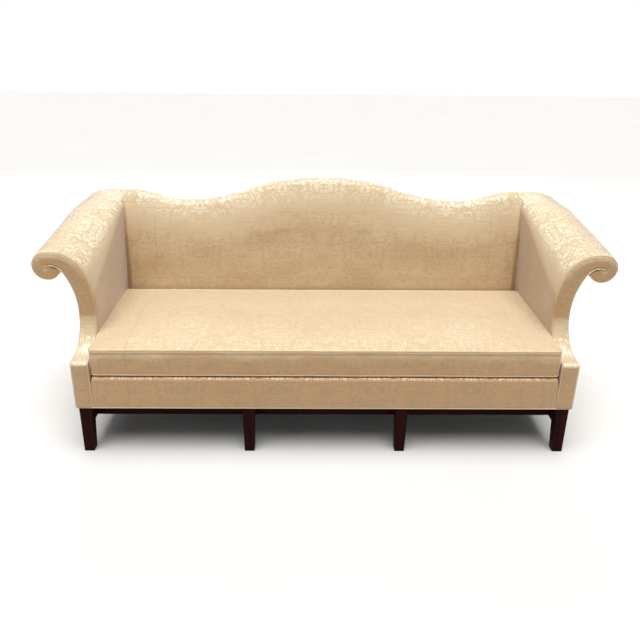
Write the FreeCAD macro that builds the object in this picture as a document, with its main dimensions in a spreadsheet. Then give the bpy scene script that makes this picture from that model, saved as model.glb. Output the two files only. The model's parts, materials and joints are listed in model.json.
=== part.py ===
import FreeCAD, Part
import Sketcher
import math
import os
import re

# Camelback sofa. X runs along the seat, Y from front to back, Z up, all in millimetres.
# While it is built, y = 0 is the front face of the seat border. Every finished piece is then
# moved forward by depth_centre, so that the origin is the middle of the footprint on the floor.

V = FreeCAD.Vector
doc = FreeCAD.newDocument("camelback_sofa")
sheet = doc.addObject("Spreadsheet::Sheet", "Sizes")

DIMENSIONS = [
    ("inside_width", 1660, "clear width between the arms"),
    ("arm_width", 63, "thickness of an arm from seat side to outside, below the roll"),
    ("seat_frame_height", 188, "underside of the seat frame above the floor"),
    ("base_depth", 664, "front of the border to the outside back, at the seat frame"),
    ("back_rake", 7.6, "lean of the back, in degrees"),
    ("back_thickness", 106, "front of the inside back to the outside back, across the lean"),
    ("crest_height", 866, "top of the hump in the middle of the back"),
    ("hump_rise", 94, "top of the hump above the lowest points of the crest"),
    ("end_rise", 42, "crest where it meets the arms above its lowest points"),
    ("dip_height", "=crest_height - hump_rise", "lowest points of the crest"),
    ("dip_place", 565, "centre of the sofa to the lowest point of the crest"),
    ("crest_end_height", "=dip_height + end_rise", "top of the back where it meets the arms"),
    ("hump_share", 0.585, "share of the hump's slope that is convex"),
    ("shoulder_share", 0.435, "share of the outer slope that is concave"),
    ("crest_roll", 38, "radius of the padded roll along the crest"),
    ("back_bow", 470, "radius of the inside back where it leans over to the crest"),
    ("crest_padding", 30, "padding between the crest rail and the top of the cover"),
    ("arm_front_set_back", 155, "front of the arm's roll behind the front of the border"),
    ("arm_rear_station", "=base_depth + 36", "depth at which the rear arm outline is given"),
    ("front_curve_height", 490, "height at which the arm front starts to sweep forward"),
    ("front_curve_radius", 122, "radius of the sweep of the arm front"),
    ("front_corner_radius", 12, "radius of the corner above the base of the arm front"),
    ("front_flare_start", 530, "height at which the inside of the arm starts to flare, front"),
    ("front_flare_radius", 300, "radius of that flare, front"),
    ("front_flare_turn", 22.1, "degrees that the flare turns, front"),
    ("front_top_radius", 127, "radius of the top of the arm, front"),
    ("front_top_turn", 102.3, "degrees reached at the end of the top, front"),
    ("front_scroll_radius", 52, "radius of the scroll, front"),
    ("front_neck_height", 500, "height of the narrowest place of the arm, front"),
    ("rear_flare_drop", 30, "end of the crest to where the inside of the arm turns over"),
    ("rear_flare_start", "=crest_end_height - rear_flare_drop", "height of that turn, rear"),
    ("rear_flare_radius", 28, "radius of that turn, rear"),
    ("rear_flare_turn", 76, "degrees that the turn makes, rear"),
    ("rear_top_radius", 215, "radius of the top of the arm, rear"),
    ("rear_top_turn", 107, "degrees reached at the end of the top, rear"),
    ("rear_scroll_radius", 57, "radius of the scroll, rear"),
    ("rear_neck_drop", 214, "end of the crest to the narrowest place of the arm, rear"),
    ("rear_neck_height", "=crest_end_height - rear_neck_drop", "height of that place, rear"),
    ("neck_curve_radius", 280, "radius of the hollow under the scroll"),
    ("cloth", 3, "thickness of a cover with its lining"),
    ("soft_gap", 0.3, "space between a cover and what it lies on"),
    ("welt_radius", 3, "radius of the piping cord"),
    ("welt_room", 6.9, "depth that the piping takes at an edge"),
    ("base_corner", 5, "radius of the piping at the corners of the base"),
    ("crest_play", 1.5, "space between the crest rail and its padding"),
    ("arm_padding", 16.7, "thickness of the padding on the arms"),
    ("board_width", 85, "width of the board inside the roll of an arm"),
    ("board_thickness", 24, "thickness of that board"),
    ("board_front_place", 122, "seat side of the arm to the middle of the board, front"),
    ("board_front_rise", 145, "start of the flare to the board's middle, front"),
    ("board_front_height", "=front_flare_start + board_front_rise", "height of it, front"),
    ("board_rear_place", 67, "seat side of the arm to the middle of the board, rear"),
    ("board_rear_drop", 52, "end of the crest to the board's middle, rear"),
    ("board_rear_height", "=crest_end_height - board_rear_drop", "height of it, rear"),
    ("crest_places", 20, "sections of the back on each side of the middle"),
    ("rail_height", 90, "height of the seat rails"),
    ("rail_thickness", 28, "thickness of the seat rails"),
    ("front_padding", 10, "front of the border to the front rail"),
    ("stump_depth", 41.1, "thickness of the shaped board at the front of each arm"),
    ("post_thickness", 34, "thickness of the boards of the back frame"),
    ("post_set_in", 6.8, "outside back cover's face to the boards of the back frame"),
    ("tack_rail_base", 330, "underside of the low rail of the back"),
    ("tack_rail_height", 42, "height of the low rail of the back"),
    ("crest_rail_depth", 60, "height of the crest rail's board at its lowest place"),
    ("crest_rail_base", "=dip_height - crest_padding - crest_rail_depth", "underside of it"),
    ("upright_width", 55, "width of the uprights in the back"),
    ("inner_leg_place", 277, "centre of the sofa to the middle of the inner legs"),
    ("cross_rail_height", 48, "height of the cross rails under the springs"),
    ("leg_top", 45, "side of a leg's square where it meets the frame"),
    ("leg_foot", 36, "side of a leg's square on the floor"),
    ("leg_inset", 9, "outside of the base to the outside of the outer legs"),
    ("leg_set_back", 8, "front of the border to the front of the front legs"),
    ("rear_leg_set_in", 8, "outside back to the rear legs, at the seat frame"),
    ("rear_leg_kick", 37, "distance that the rear legs lean back over their height"),
    ("stretcher_base", 90, "underside of the stretchers above the floor"),
    ("stretcher_height", 40, "height of the stretchers"),
    ("stretcher_thickness", 20, "thickness of the stretchers"),
    ("stretcher_housing", 8, "depth that a stretcher's end is let into a leg"),
    ("long_stretcher_place", 104, "front of the border to the front of the long stretcher"),
    ("long_stretcher_housing", 5, "depth that the long stretcher is let into the others"),
    ("joint_clearance", 0.05, "play round a pin or a housed end"),
    ("dowel_diameter", 10, "diameter of the frame's dowels"),
    ("dowel_length", 34, "length of the frame's dowels"),
    ("dowel_low", 32, "lower dowel above the underside of the rails"),
    ("dowel_rise", 32, "distance from the lower dowel to the upper one"),
    ("bolt_diameter", 8, "diameter of the bolts between legs and frame"),
    ("bolt_length", 56, "length of those bolts"),
    ("bolt_reach", 18, "length of a leg bolt above the leg"),
    ("screw_diameter", 5, "diameter of the corner block screws"),
    ("screw_length", 40, "length of the corner block screws"),
    ("block_side", 60, "side of a corner block"),
    ("block_height", 40, "height of a corner block"),
    ("block_lift", 20, "corner block above the underside of the rails"),
    ("spring_count", 13, "number of zigzag springs across the seat"),
    ("spring_spacing", 127, "distance between zigzag springs"),
    ("spring_wire", 3.8, "diameter of the spring wire"),
    ("spring_width", 48, "width of a zigzag spring"),
    ("spring_turns", 28, "number of runs in a zigzag spring"),
    ("spring_margin", 70, "depth of the seat that the springs don't cover"),
    ("spring_pitch", "=(base_depth - spring_margin) / (spring_turns - 1)", "space between runs"),
    ("clip_sheet", 1.2, "thickness of the clips that hold the springs"),
    ("clip_width", 18, "width of those clips"),
    ("deck_height", 311, "top of the seat deck under the cushion"),
    ("border_curve", 15, "radius of the border's top edge"),
    ("border_return", 60, "front of the border to the seam with the deck cover"),
    ("deck_depth", "=base_depth - 96", "front of the border to the rear of the deck"),
    ("edge_roll_depth", 45, "front of the border to the rear of the edge roll"),
    ("hessian", 1, "thickness of the cloth over the springs"),
    ("cushion_depth", "=base_depth - 96", "front to back size of the cushion"),
    ("cushion_front", 4, "front of the border to the cushion's front seams"),
    ("cushion_side_gap", 0.6, "space between the cushion's piping and the arms"),
    ("cushion_low_seam", "=deck_height + 8", "height of the cushion's lower seam"),
    ("cushion_thickness", 96, "distance between the cushion's seams"),
    ("cushion_high_seam", "=cushion_low_seam + cushion_thickness", "height of its upper seam"),
    ("cushion_crown", 24, "rise of the cushion's top above its upper seam"),
    ("cushion_end_crown", 9, "that rise beside the arms"),
    ("cushion_bulge", 4, "how far the cushion's front swells between the seams"),
    ("cushion_corner", 14, "radius of the cushion's corners in plan"),
    ("cushion_belly", 45, "how far in the cushion's underside reaches the deck"),
    ("zipper_length", 1500, "length of the closure at the back of the cushion"),
    ("zipper_height", 22, "height of that closure"),
    ("zipper_sheet", 1.6, "thickness of that closure"),
    ("strap_width", 50, "width of the back webbing"),
    ("strap_sheet", 1.5, "thickness of the back webbing"),
    ("strap_count", 8, "number of webbing straps in the back"),
    ("strap_spacing", 200, "distance between webbing straps"),
    ("dust_cloth", 1, "thickness of the cloth under the seat"),
]

for row, (alias, value, meaning) in enumerate(DIMENSIONS, start=1):
    sheet.set("A%d" % row, meaning)
    sheet.set("B%d" % row, str(value))
    sheet.setAlias("B%d" % row, alias)
doc.recompute()


def size(alias):
    """Value of one cell of the sheet."""
    return float(sheet.get(alias))


def cells(text):
    """Expression text in which each alias is written as a cell of the sheet."""
    aliases = {alias for alias, value, meaning in DIMENSIONS}
    return re.sub(
        r"[a-z_]+",
        lambda word: "Sizes." + word.group() if word.group() in aliases else word.group(),
        text,
    )


# Values that several pieces share, as expression text
HALF = "(inside_width / 2)"
OUTSIDE = "(inside_width / 2 + arm_width)"
FRAME_TOP = "(seat_frame_height + rail_height)"
RAKE = "tan(back_rake)"
DEPTH_CENTRE = (
    "((base_depth + (crest_height - crest_roll - seat_frame_height) * tan(back_rake)"
    " - crest_roll / cos(back_rake) + crest_roll) / 2)"
)

sides = {"left": -1, "right": 1}
nodes = []


def value_of(text):
    """Number that an expression gives with the sheet's present sizes."""
    result = sheet.evalExpression(cells(text))
    return float(getattr(result, "Value", result))


def bind(target, settings):
    """Tie properties of a document object to expressions of the sheet."""
    for name, text in settings.items():
        target.setExpression(name, cells(text))


def finish(target, label):
    """Name a finished piece and move it into the sofa's own frame."""
    target.Label = label
    bind(target, {"Placement.Base.y": "-" + DEPTH_CENTRE})
    nodes.append(target)
    return target


def box(name, corner, extent, raked=False):
    """Board with its low corner and its length, width and height given as expressions."""
    target = doc.addObject("Part::Box", name)
    bind(target, dict(zip(("Length", "Width", "Height"), extent)))
    if raked:
        target.Placement = FreeCAD.Placement(V(0, 0, 0), FreeCAD.Rotation(V(1, 0, 0), -1))
        bind(target, {"Placement.Rotation.Angle": "-back_rake"})
    for letter, text in zip("xyz", corner):
        bind(target, {"Placement.Base." + letter: text})
    return target


def solid(name, shape):
    """Piece whose shape comes from Part's own functions."""
    target = doc.addObject("Part::Feature", name)
    target.Shape = shape
    return target


TURN = {
    "x": FreeCAD.Rotation(V(0, 1, 0), 90),
    "y": FreeCAD.Rotation(V(1, 0, 0), -90),
    "z": FreeCAD.Rotation(),
}


def pin(name, centre, axis, diameter, length, play=""):
    """Round pin, or the hole for it, about a centre."""
    target = doc.addObject("Part::Cylinder", name)
    target.Placement = FreeCAD.Placement(V(0, 0, 0), TURN[axis])
    bind(target, {"Radius": diameter + " / 2" + play, "Height": length})
    for letter, text in zip("xyz", centre):
        shift = " - %s / 2" % length if letter == axis else ""
        bind(target, {"Placement.Base." + letter: text + shift})
    return target


joints = {}


def joint(name, kind, centres, axis):
    """Remember the pins of one joint."""
    joints[name] = [(kind, centre, axis) for centre in centres]


def pins_of(names, play=""):
    """Pins, or holes, of the named joints."""
    made = []
    for name in names:
        for kind, centre, axis in joints[name]:
            diameter, length = kind + "_diameter", kind + "_length"
            made.append(pin("pin", centre, axis, diameter, length, play))
    return made


def group(name, members):
    """Several solids under one name."""
    target = doc.addObject("Part::Compound", name)
    target.Links = members
    return target


def fitted(name, base, joint_names, housings=()):
    """Piece with the holes of its joints and the housings of what is let into it."""
    tools = pins_of(joint_names, " + joint_clearance") + list(housings)
    target = doc.addObject("Part::Cut", name)
    target.Base = base
    target.Tool = group("holes_" + name, tools)
    return finish(target, name)


def raked(depth, height):
    """Expression for y at a height, a given depth in from the outside of the back."""
    rise = "((%s) - seat_frame_height) * %s" % (height, RAKE)
    return "(base_depth + %s - (%s) / cos(back_rake))" % (rise, depth)


# Joints of the frame
STUMP_INSIDE = "(inside_width / 2 + welt_room)"
RAIL_PIN_Y = "(front_padding + rail_thickness / 2)"
BACK_RAIL_FRONT = raked("post_set_in + post_thickness - 3", "seat_frame_height")
BACK_RAIL_PIN_Y = "(%s + rail_thickness / 2)" % BACK_RAIL_FRONT
STUMP_REAR = "(welt_room + stump_depth)"
DOWELS_UP = ["(seat_frame_height + dowel_low)", "(seat_frame_height + dowel_low + dowel_rise)"]
BLOCK_MIDDLE = "(seat_frame_height + block_lift + block_height / 2)"
SCREW_IN = "(block_side * 0.3)"
SIDE_RAIL_MIDDLE = "(inside_width / 2 + welt_room + rail_thickness / 2)"
LEG_PIN_Z = "(seat_frame_height + bolt_reach - bolt_length / 2)"
POST_FRONT = "post_set_in + post_thickness"

for side, sign in sides.items():
    across = "%d * " % sign
    stump_face = across + STUMP_INSIDE
    rail_middle = across + SIDE_RAIL_MIDDLE
    joint("front_rail_" + side, "dowel", [(stump_face, RAIL_PIN_Y, up) for up in DOWELS_UP], "x")
    joint("back_rail_" + side, "dowel", [(stump_face, BACK_RAIL_PIN_Y, up) for up in DOWELS_UP], "x")
    joint("side_rail_front_" + side, "dowel", [(rail_middle, STUMP_REAR, up) for up in DOWELS_UP], "y")
    joint(
        "side_rail_rear_" + side,
        "dowel",
        [(rail_middle, raked(POST_FRONT, up), up) for up in DOWELS_UP],
        "y",
    )
    tack_middle = "(tack_rail_base + tack_rail_height / 2)"
    post_middle = "post_set_in + post_thickness / 2"
    joint("tack_rail_" + side, "dowel", [(stump_face, raked(post_middle, tack_middle), tack_middle)], "x")
    crest_pin = "(crest_rail_base + dowel_low)"
    joint(
        "crest_rail_" + side,
        "dowel",
        [
            (stump_face, raked(post_middle, crest_pin), crest_pin),
            (stump_face, raked(post_middle, crest_pin + " + dowel_rise"), crest_pin + " + dowel_rise"),
        ],
        "x",
    )
    cross_middle = across + "inner_leg_place"
    cross_pin = "(seat_frame_height + cross_rail_height / 2 + dowel_diameter / 2)"
    joint(
        "cross_rail_front_" + side,
        "dowel",
        [(cross_middle, "(front_padding + rail_thickness)", cross_pin)],
        "y",
    )
    joint("cross_rail_rear_" + side, "dowel", [(cross_middle, BACK_RAIL_FRONT, cross_pin)], "y")
    outer_leg_middle = across + "(inside_width / 2 + arm_width - leg_inset - leg_top / 2)"
    front_leg_middle = "(leg_set_back + leg_top / 2 - 5)"
    rear_leg_middle = "(base_depth - rear_leg_set_in - leg_top / 2)"
    joint("front_leg_outer_" + side, "bolt", [(outer_leg_middle, front_leg_middle, LEG_PIN_Z)], "z")
    joint("rear_leg_outer_" + side, "bolt", [(outer_leg_middle, rear_leg_middle, LEG_PIN_Z)], "z")
    joint("front_leg_inner_" + side, "bolt", [(cross_middle, RAIL_PIN_Y, LEG_PIN_Z)], "z")
    joint("rear_leg_inner_" + side, "bolt", [(cross_middle, BACK_RAIL_PIN_Y, LEG_PIN_Z)], "z")
    screw_x = across + "(inside_width / 2 + welt_room - block_side * 0.3)"
    joint(
        "front_block_" + side,
        "screw",
        [(screw_x, "(front_padding + rail_thickness)", BLOCK_MIDDLE)],
        "y",
    )
    joint("rear_block_" + side, "screw", [(screw_x, BACK_RAIL_FRONT, BLOCK_MIDDLE)], "y")
    screw_y = "(front_padding + rail_thickness + block_side * 0.45)"
    joint("front_block_side_" + side, "screw", [(stump_face, screw_y, BLOCK_MIDDLE + " + 9")], "x")
    screw_y = "(%s - block_side * 0.45)" % BACK_RAIL_FRONT
    joint("rear_block_side_" + side, "screw", [(stump_face, screw_y, BLOCK_MIDDLE + " + 9")], "x")
    board_pin = across + "(inside_width / 2 + board_front_place)"
    stump_back = "(arm_front_set_back + welt_room + stump_depth)"
    joint("arm_board_front_" + side, "dowel", [(board_pin, stump_back, "board_front_height")], "y")
    board_pin = across + "(inside_width / 2 + board_rear_place - board_width * 0.32)"
    joint(
        "arm_board_rear_" + side,
        "dowel",
        [(board_pin, raked(POST_FRONT, "board_rear_height"), "board_rear_height")],
        "y",
    )


# Seat rails
fitted(
    "front_seat_rail",
    box(
        "front_rail_stock",
        ("-" + STUMP_INSIDE, "front_padding", "seat_frame_height"),
        ("inside_width + 2 * welt_room", "rail_thickness", "rail_height"),
    ),
    ["front_rail_left", "front_rail_right", "cross_rail_front_left", "cross_rail_front_right"]
    + ["front_leg_inner_left", "front_leg_inner_right", "front_block_left", "front_block_right"],
)
fitted(
    "back_seat_rail",
    box(
        "back_rail_stock",
        ("-" + STUMP_INSIDE, BACK_RAIL_FRONT, "seat_frame_height"),
        ("inside_width + 2 * welt_room", "rail_thickness", "rail_height"),
    ),
    ["back_rail_left", "back_rail_right", "cross_rail_rear_left", "cross_rail_rear_right"]
    + ["rear_leg_inner_left", "rear_leg_inner_right", "rear_block_left", "rear_block_right"],
)


def corner_sketch(body, name, plane, corners, lift="0"):
    """Closed polygon on an origin plane of a body, each corner tied to the sheet."""
    sketch = body.newObject("Sketcher::SketchObject", name)
    origin_plane = [item for item in body.Origin.OriginFeatures if item.Role == plane][0]
    sketch.AttachmentSupport = [(origin_plane, "")]
    sketch.MapMode = "FlatFace"
    bind(sketch, {"AttachmentOffset.Base.z": lift})
    places = [(value_of(across), value_of(up)) for across, up in corners]
    count = len(corners)
    for index in range(count):
        start, end = places[index], places[(index + 1) % count]
        sketch.addGeometry(Part.LineSegment(V(*start, 0), V(*end, 0)), False)
    for index in range(count):
        sketch.addConstraint(Sketcher.Constraint("Coincident", index, 2, (index + 1) % count, 1))
    for index in range(count):
        for kind, text, place in zip(("DistanceX", "DistanceY"), corners[index], places[index]):
            number = sketch.addConstraint(Sketcher.Constraint(kind, -1, 1, index, 1, place))
            bind(sketch, {"Constraints[%d]" % number: text})
    return sketch


def padded_body(name, plane, corners, length, middle=False):
    """Body made of one padded polygon."""
    body = doc.addObject("PartDesign::Body", name)
    sketch = corner_sketch(body, name + "_outline", plane, corners)
    pad = body.newObject("PartDesign::Pad", name + "_pad")
    pad.Profile = sketch
    pad.Midplane = middle
    bind(pad, {"Length": length})
    return body


# Side rails, with their rear ends cut to the lean of the back posts
for side, sign in sides.items():
    profile = [
        (STUMP_REAR, "seat_frame_height"),
        (raked(POST_FRONT, "seat_frame_height"), "seat_frame_height"),
        (raked(POST_FRONT, FRAME_TOP), FRAME_TOP),
        (STUMP_REAR, FRAME_TOP),
    ]
    body = padded_body("side_rail_stock_" + side, "YZ_Plane", profile, "rail_thickness", True)
    bind(body, {"Placement.Base.x": "%d * %s" % (sign, SIDE_RAIL_MIDDLE)})
    fitted(
        "side_seat_rail_" + side,
        body,
        ["side_rail_front_" + side, "side_rail_rear_" + side]
        + ["front_block_side_" + side, "rear_block_side_" + side],
    )

# Cross rails under the springs, over the inner legs
cross_parts = []
for side, sign in sides.items():
    stock = box(
        "cross_rail_stock_" + side,
        (
            "%d * inner_leg_place - rail_thickness / 2" % sign,
            "front_padding + rail_thickness",
            "seat_frame_height",
        ),
        ("rail_thickness", BACK_RAIL_FRONT + " - front_padding - rail_thickness", "cross_rail_height"),
    )
    cut = doc.addObject("Part::Cut", "cross_rail_" + side)
    cut.Base = stock
    names = ["cross_rail_front_" + side, "cross_rail_rear_" + side]
    cut.Tool = group("holes_cross_" + side, pins_of(names, " + joint_clearance"))
    cross_parts.append(cut)
finish(group("cross_rails_group", cross_parts), "cross_rails")

# Corner blocks: triangles glued and screwed into the corners of the seat frame
block_parts = []
for side, sign in sides.items():
    corner_x = "%d * %s" % (sign, STUMP_INSIDE)
    inner_x = "%d * (%s - block_side)" % (sign, STUMP_INSIDE)
    for end, face, direction in (
        ("front", "(front_padding + rail_thickness)", 1),
        ("rear", BACK_RAIL_FRONT, -1),
    ):
        far = "(%s + %d * block_side)" % (face, direction)
        body = padded_body(
            "block_stock_%s_%s" % (end, side),
            "XY_Plane",
            [(corner_x, face), (inner_x, face), (corner_x, far)],
            "block_height",
        )
        bind(body, {"Placement.Base.z": "seat_frame_height + block_lift"})
        cut = doc.addObject("Part::Cut", "block_%s_%s" % (end, side))
        cut.Base = body
        names = ["%s_block_%s" % (end, side), "%s_block_side_%s" % (end, side)]
        cut.Tool = group("holes_block_%s_%s" % (end, side), pins_of(names, " + joint_clearance"))
        block_parts.append(cut)
finish(group("corner_block_group", block_parts), "corner_blocks")

# Back frame: posts, low rail and uprights, all leaning with the back
for side, sign in sides.items():
    top = "rear_flare_start"
    front, rear = POST_FRONT, "post_set_in"
    profile = [
        (raked(front, "seat_frame_height"), "seat_frame_height"),
        (raked(rear, "seat_frame_height"), "seat_frame_height"),
        (raked(rear, top), top),
        (raked(front, top), top),
    ]
    width = "(arm_width - 2 * welt_room)"
    body = padded_body("post_stock_" + side, "YZ_Plane", profile, width, True)
    bind(body, {"Placement.Base.x": "%d * (inside_width / 2 + arm_width / 2)" % sign})
    fitted(
        "back_post_" + side,
        body,
        ["back_rail_" + side, "side_rail_rear_" + side, "tack_rail_" + side, "crest_rail_" + side]
        + ["rear_leg_outer_" + side, "arm_board_rear_" + side],
    )
fitted(
    "back_tack_rail",
    box(
        "tack_rail_stock",
        ("-" + STUMP_INSIDE, raked(POST_FRONT, "tack_rail_base"), "tack_rail_base"),
        ("inside_width + 2 * welt_room", "post_thickness", "tack_rail_height / cos(back_rake)"),
        raked=True,
    ),
    ["tack_rail_left", "tack_rail_right"],
)
TACK_TOP = "(tack_rail_base + tack_rail_height)"
uprights = []
for side, sign in sides.items():
    uprights.append(
        box(
            "upright_" + side,
            (
                "%d * inner_leg_place - upright_width / 2" % sign,
                raked(POST_FRONT, TACK_TOP),
                TACK_TOP,
            ),
            (
                "upright_width",
                "post_thickness",
                "(crest_rail_base - tack_rail_base - tack_rail_height) / cos(back_rake)",
            ),
            raked=True,
        )
    )
finish(group("upright_group", uprights), "back_uprights")


def ogee(run, rise, share):
    """Radii of the two arcs of an ogee over a run and a rise; share is the first arc's part."""
    chord = (run * run + rise * rise) / (2 * rise)
    return share * chord, (1 - share) * chord


def crest_stations():
    """Half of the crest as arcs: (x centre, height of centre, radius, x from, x to, side)."""
    hump = size("crest_height") - size("dip_height")
    shoulder = size("crest_end_height") - size("dip_height")
    dip = size("dip_place")
    outer = size("inside_width") / 2 - dip
    hump_radius, dip_radius = ogee(dip, hump, size("hump_share"))
    low_radius, end_radius = ogee(outer, shoulder, size("shoulder_share"))
    turn_in = dip * size("hump_share")
    turn_out = dip + outer * size("shoulder_share")
    end = size("inside_width") / 2
    return [
        (0, size("crest_height") - hump_radius, hump_radius, 0, turn_in, 1),
        (dip, size("dip_height") + dip_radius, dip_radius, turn_in, dip, -1),
        (dip, size("dip_height") + low_radius, low_radius, dip, turn_out, -1),
        (end, size("crest_end_height") - end_radius, end_radius, turn_out, end, 1),
    ]


def crest_at(x):
    """Height of the crest at a distance from the centre."""
    x = abs(x)
    for centre, height, radius, start, stop, way in crest_stations():
        if x <= stop:
            return height + way * math.sqrt(max(radius**2 - (x - centre) ** 2, 0))
    return size("crest_end_height")


def crest_edges(place):
    """Arcs of the crest from the left end to the right end; place maps (x, height) to a point."""
    right = []
    for centre, height, radius, start, stop, way in crest_stations():
        xs = [start, (start + stop) / 2, stop]
        heights = [height + way * math.sqrt(radius**2 - (x - centre) ** 2) for x in xs]
        right.append((xs, heights))
    edges = []
    for mirror, order in ((-1, -1), (1, 1)):
        arcs = right if mirror == 1 else right[::-1]
        for xs, heights in arcs:
            spots = [place(mirror * x, height) for x, height in list(zip(xs, heights))[::order]]
            edges.append(Part.Arc(*spots).toShape())
    return edges


def closed_face(edges, corners):
    """Face bounded by edges and then by straight lines through the corners back to the start."""
    first = edges[0].Vertexes[0].Point
    last = edges[-1].Vertexes[-1].Point
    spots = [last] + corners + [first]
    lines = [Part.makeLine(a, b) for a, b in zip(spots, spots[1:])]
    return Part.Face(Part.Wire(Part.__sortEdges__(edges + lines)))


RAKE_ANGLE = math.radians(size("back_rake"))


def outside_back(z, depth=0):
    """y of the outside back at a height, or of a plane a depth in from it."""
    rise = (z - size("seat_frame_height")) * math.tan(RAKE_ANGLE)
    return size("base_depth") + rise - depth / math.cos(RAKE_ANGLE)


# Crest rail: a sawn board whose top follows the crest, standing on the uprights
def crest_rail_board():
    base = size("crest_rail_base")
    front = outside_back(base, size("post_set_in") + size("post_thickness"))
    half_width = size("inside_width") / 2 + size("welt_room")

    def place(x, height):
        return V(x, 0, (height - size("crest_padding") - base) / math.cos(RAKE_ANGLE))

    half_inside = size("inside_width") / 2
    edges = crest_edges(place)
    end = place(half_inside, size("crest_end_height")).z
    corners = [V(half_width, 0, end), V(half_width, 0, 0), V(-half_width, 0, 0), V(-half_width, 0, end)]
    board = closed_face(edges, corners).extrude(V(0, size("post_thickness"), 0))
    board.rotate(V(0, 0, 0), V(1, 0, 0), -size("back_rake"))
    board.translate(V(0, front, base))
    return board


fitted("crest_rail", solid("crest_board", crest_rail_board()), ["crest_rail_left", "crest_rail_right"])


# Legs: square, tapering on their inner faces, the rear ones leaning back
def leg(label, inner_x, outer_x, foot_inner_x, front_y, lean, joint_names, housings):
    """Leg between its top square under the frame and its foot on the floor."""
    body = doc.addObject("PartDesign::Body", label + "_stock")

    def square(x_from, x_to, y_from, y_to):
        return [(x_from, y_from), (x_to, y_from), (x_to, y_to), (x_from, y_to)]

    rear_y = "(%s + leg_top)" % front_y
    if lean:
        foot_front = "(%s + %s + leg_top - leg_foot)" % (front_y, lean)
        foot_rear = "(%s + leg_top + %s)" % (front_y, lean)
    else:
        foot_front = front_y
        foot_rear = "(%s + leg_foot)" % front_y
    foot = corner_sketch(
        body, label + "_foot", "XY_Plane", square(foot_inner_x[0], foot_inner_x[1], foot_front, foot_rear)
    )
    top = corner_sketch(
        body,
        label + "_top",
        "XY_Plane",
        square(inner_x, outer_x, front_y, rear_y),
        "seat_frame_height",
    )
    shaft = body.newObject("PartDesign::AdditiveLoft", label + "_shaft")
    shaft.Profile = foot
    shaft.Sections = [top]
    shaft.Ruled = True
    return fitted(label, body, joint_names, housings)


STRETCHER_TOP = "(stretcher_base + stretcher_height)"
TAPER = "(leg_top - leg_foot)"
front_leg_rear = "(leg_set_back + leg_foot + %s * stretcher_base / seat_frame_height)" % TAPER
rear_leg_front = (
    "(base_depth - rear_leg_set_in - leg_top + (rear_leg_kick + %s)"
    " * (1 - (stretcher_base + stretcher_height) / seat_frame_height))" % TAPER
)


def leg_stretcher_box(name, middle, play):
    """Stretcher from a front leg to a rear leg, or with play the housing that it needs."""
    return box(
        name,
        (
            "%s - stretcher_thickness / 2 - %s" % (middle, play),
            "%s - stretcher_housing - %s" % (front_leg_rear, play),
            "stretcher_base - %s" % play,
        ),
        (
            "stretcher_thickness + 2 * %s" % play,
            "%s - %s + 2 * stretcher_housing + 2 * %s" % (rear_leg_front, front_leg_rear, play),
            "stretcher_height + 2 * %s" % play,
        ),
    )


leg_middles = {
    "outer": "(inside_width / 2 + arm_width - leg_inset - leg_foot / 2)",
    "inner": "inner_leg_place",
}
for place, right_middle in leg_middles.items():
    for side, sign in sides.items():
        if place == "outer":
            outer = "(%s)" % OUTSIDE + " - leg_inset"
            top_x = ["%d * (%s)" % (sign, text) for text in (outer + " - leg_top", outer)]
            foot_x = ["%d * (%s)" % (sign, text) for text in (outer + " - leg_foot", outer)]
        else:
            top_x = ["%d * inner_leg_place %s leg_top / 2" % (sign, way) for way in "-+"]
            foot_x = ["%d * inner_leg_place %s leg_foot / 2" % (sign, way) for way in "-+"]
        middle = "%d * %s" % (sign, right_middle)
        for end, front_y, lean in (
            ("front", "leg_set_back", ""),
            ("rear", "(base_depth - rear_leg_set_in - leg_top)", "rear_leg_kick"),
        ):
            label = "%s_leg_%s_%s" % (end, place, side)
            housing = leg_stretcher_box("housing_" + label, middle, "joint_clearance")
            leg(label, top_x[0], top_x[1], foot_x, front_y, lean, [label], [housing])

# Stretchers from front to back
LONG_Y = "long_stretcher_place"
for place, right_middle in leg_middles.items():
    for side, sign in sides.items():
        middle = "%d * %s" % (sign, right_middle)
        name = "leg_stretcher_%s_%s" % (place, side)
        stock = leg_stretcher_box(name + "_stock", middle, "0")
        housings = []
        for way in (-1, 1):
            if place == "outer" and way == sign:
                continue
            face = "(%s + %d * (stretcher_thickness / 2 - long_stretcher_housing))" % (middle, way)
            low = face if way == 1 else "(%s - 2 * long_stretcher_housing)" % face
            housings.append(
                box(
                    "housing_%s_%d" % (name, way + 1),
                    (
                        low + " - joint_clearance",
                        LONG_Y + " - joint_clearance",
                        "stretcher_base + stretcher_height / 6 - joint_clearance",
                    ),
                    (
                        "2 * long_stretcher_housing + 2 * joint_clearance",
                        "stretcher_thickness + 2 * joint_clearance",
                        "stretcher_height",
                    ),
                )
            )
        fitted(name, stock, [], housings)

# Long stretcher, in three lengths between those
inset = "(stretcher_thickness / 2 - long_stretcher_housing)"
ends = {
    "left": ("-" + leg_middles["outer"] + " + " + inset, "-inner_leg_place - " + inset),
    "middle": ("-inner_leg_place + " + inset, "inner_leg_place - " + inset),
    "right": ("inner_leg_place + " + inset, leg_middles["outer"] + " - " + inset),
}
for name, (start, stop) in ends.items():
    target = box(
        "long_stretcher_" + name,
        (start, LONG_Y + " - " + DEPTH_CENTRE, "stretcher_base + stretcher_height / 6"),
        ("%s - (%s)" % (stop, start), "stretcher_thickness", "stretcher_height * 5 / 6"),
    )
    target.Label = "long_stretcher_" + name
    nodes.append(target)


# Arms. An outline is given by (u, z): u is the distance outwards from the arm's seat side.
def turned(centre, radius, degrees):
    """Point on a circle; 0 degrees is its seat side, 90 its top, 180 its outer side."""
    angle = math.radians(degrees)
    return (centre[0] - radius * math.cos(angle), centre[1] + radius * math.sin(angle))


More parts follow.
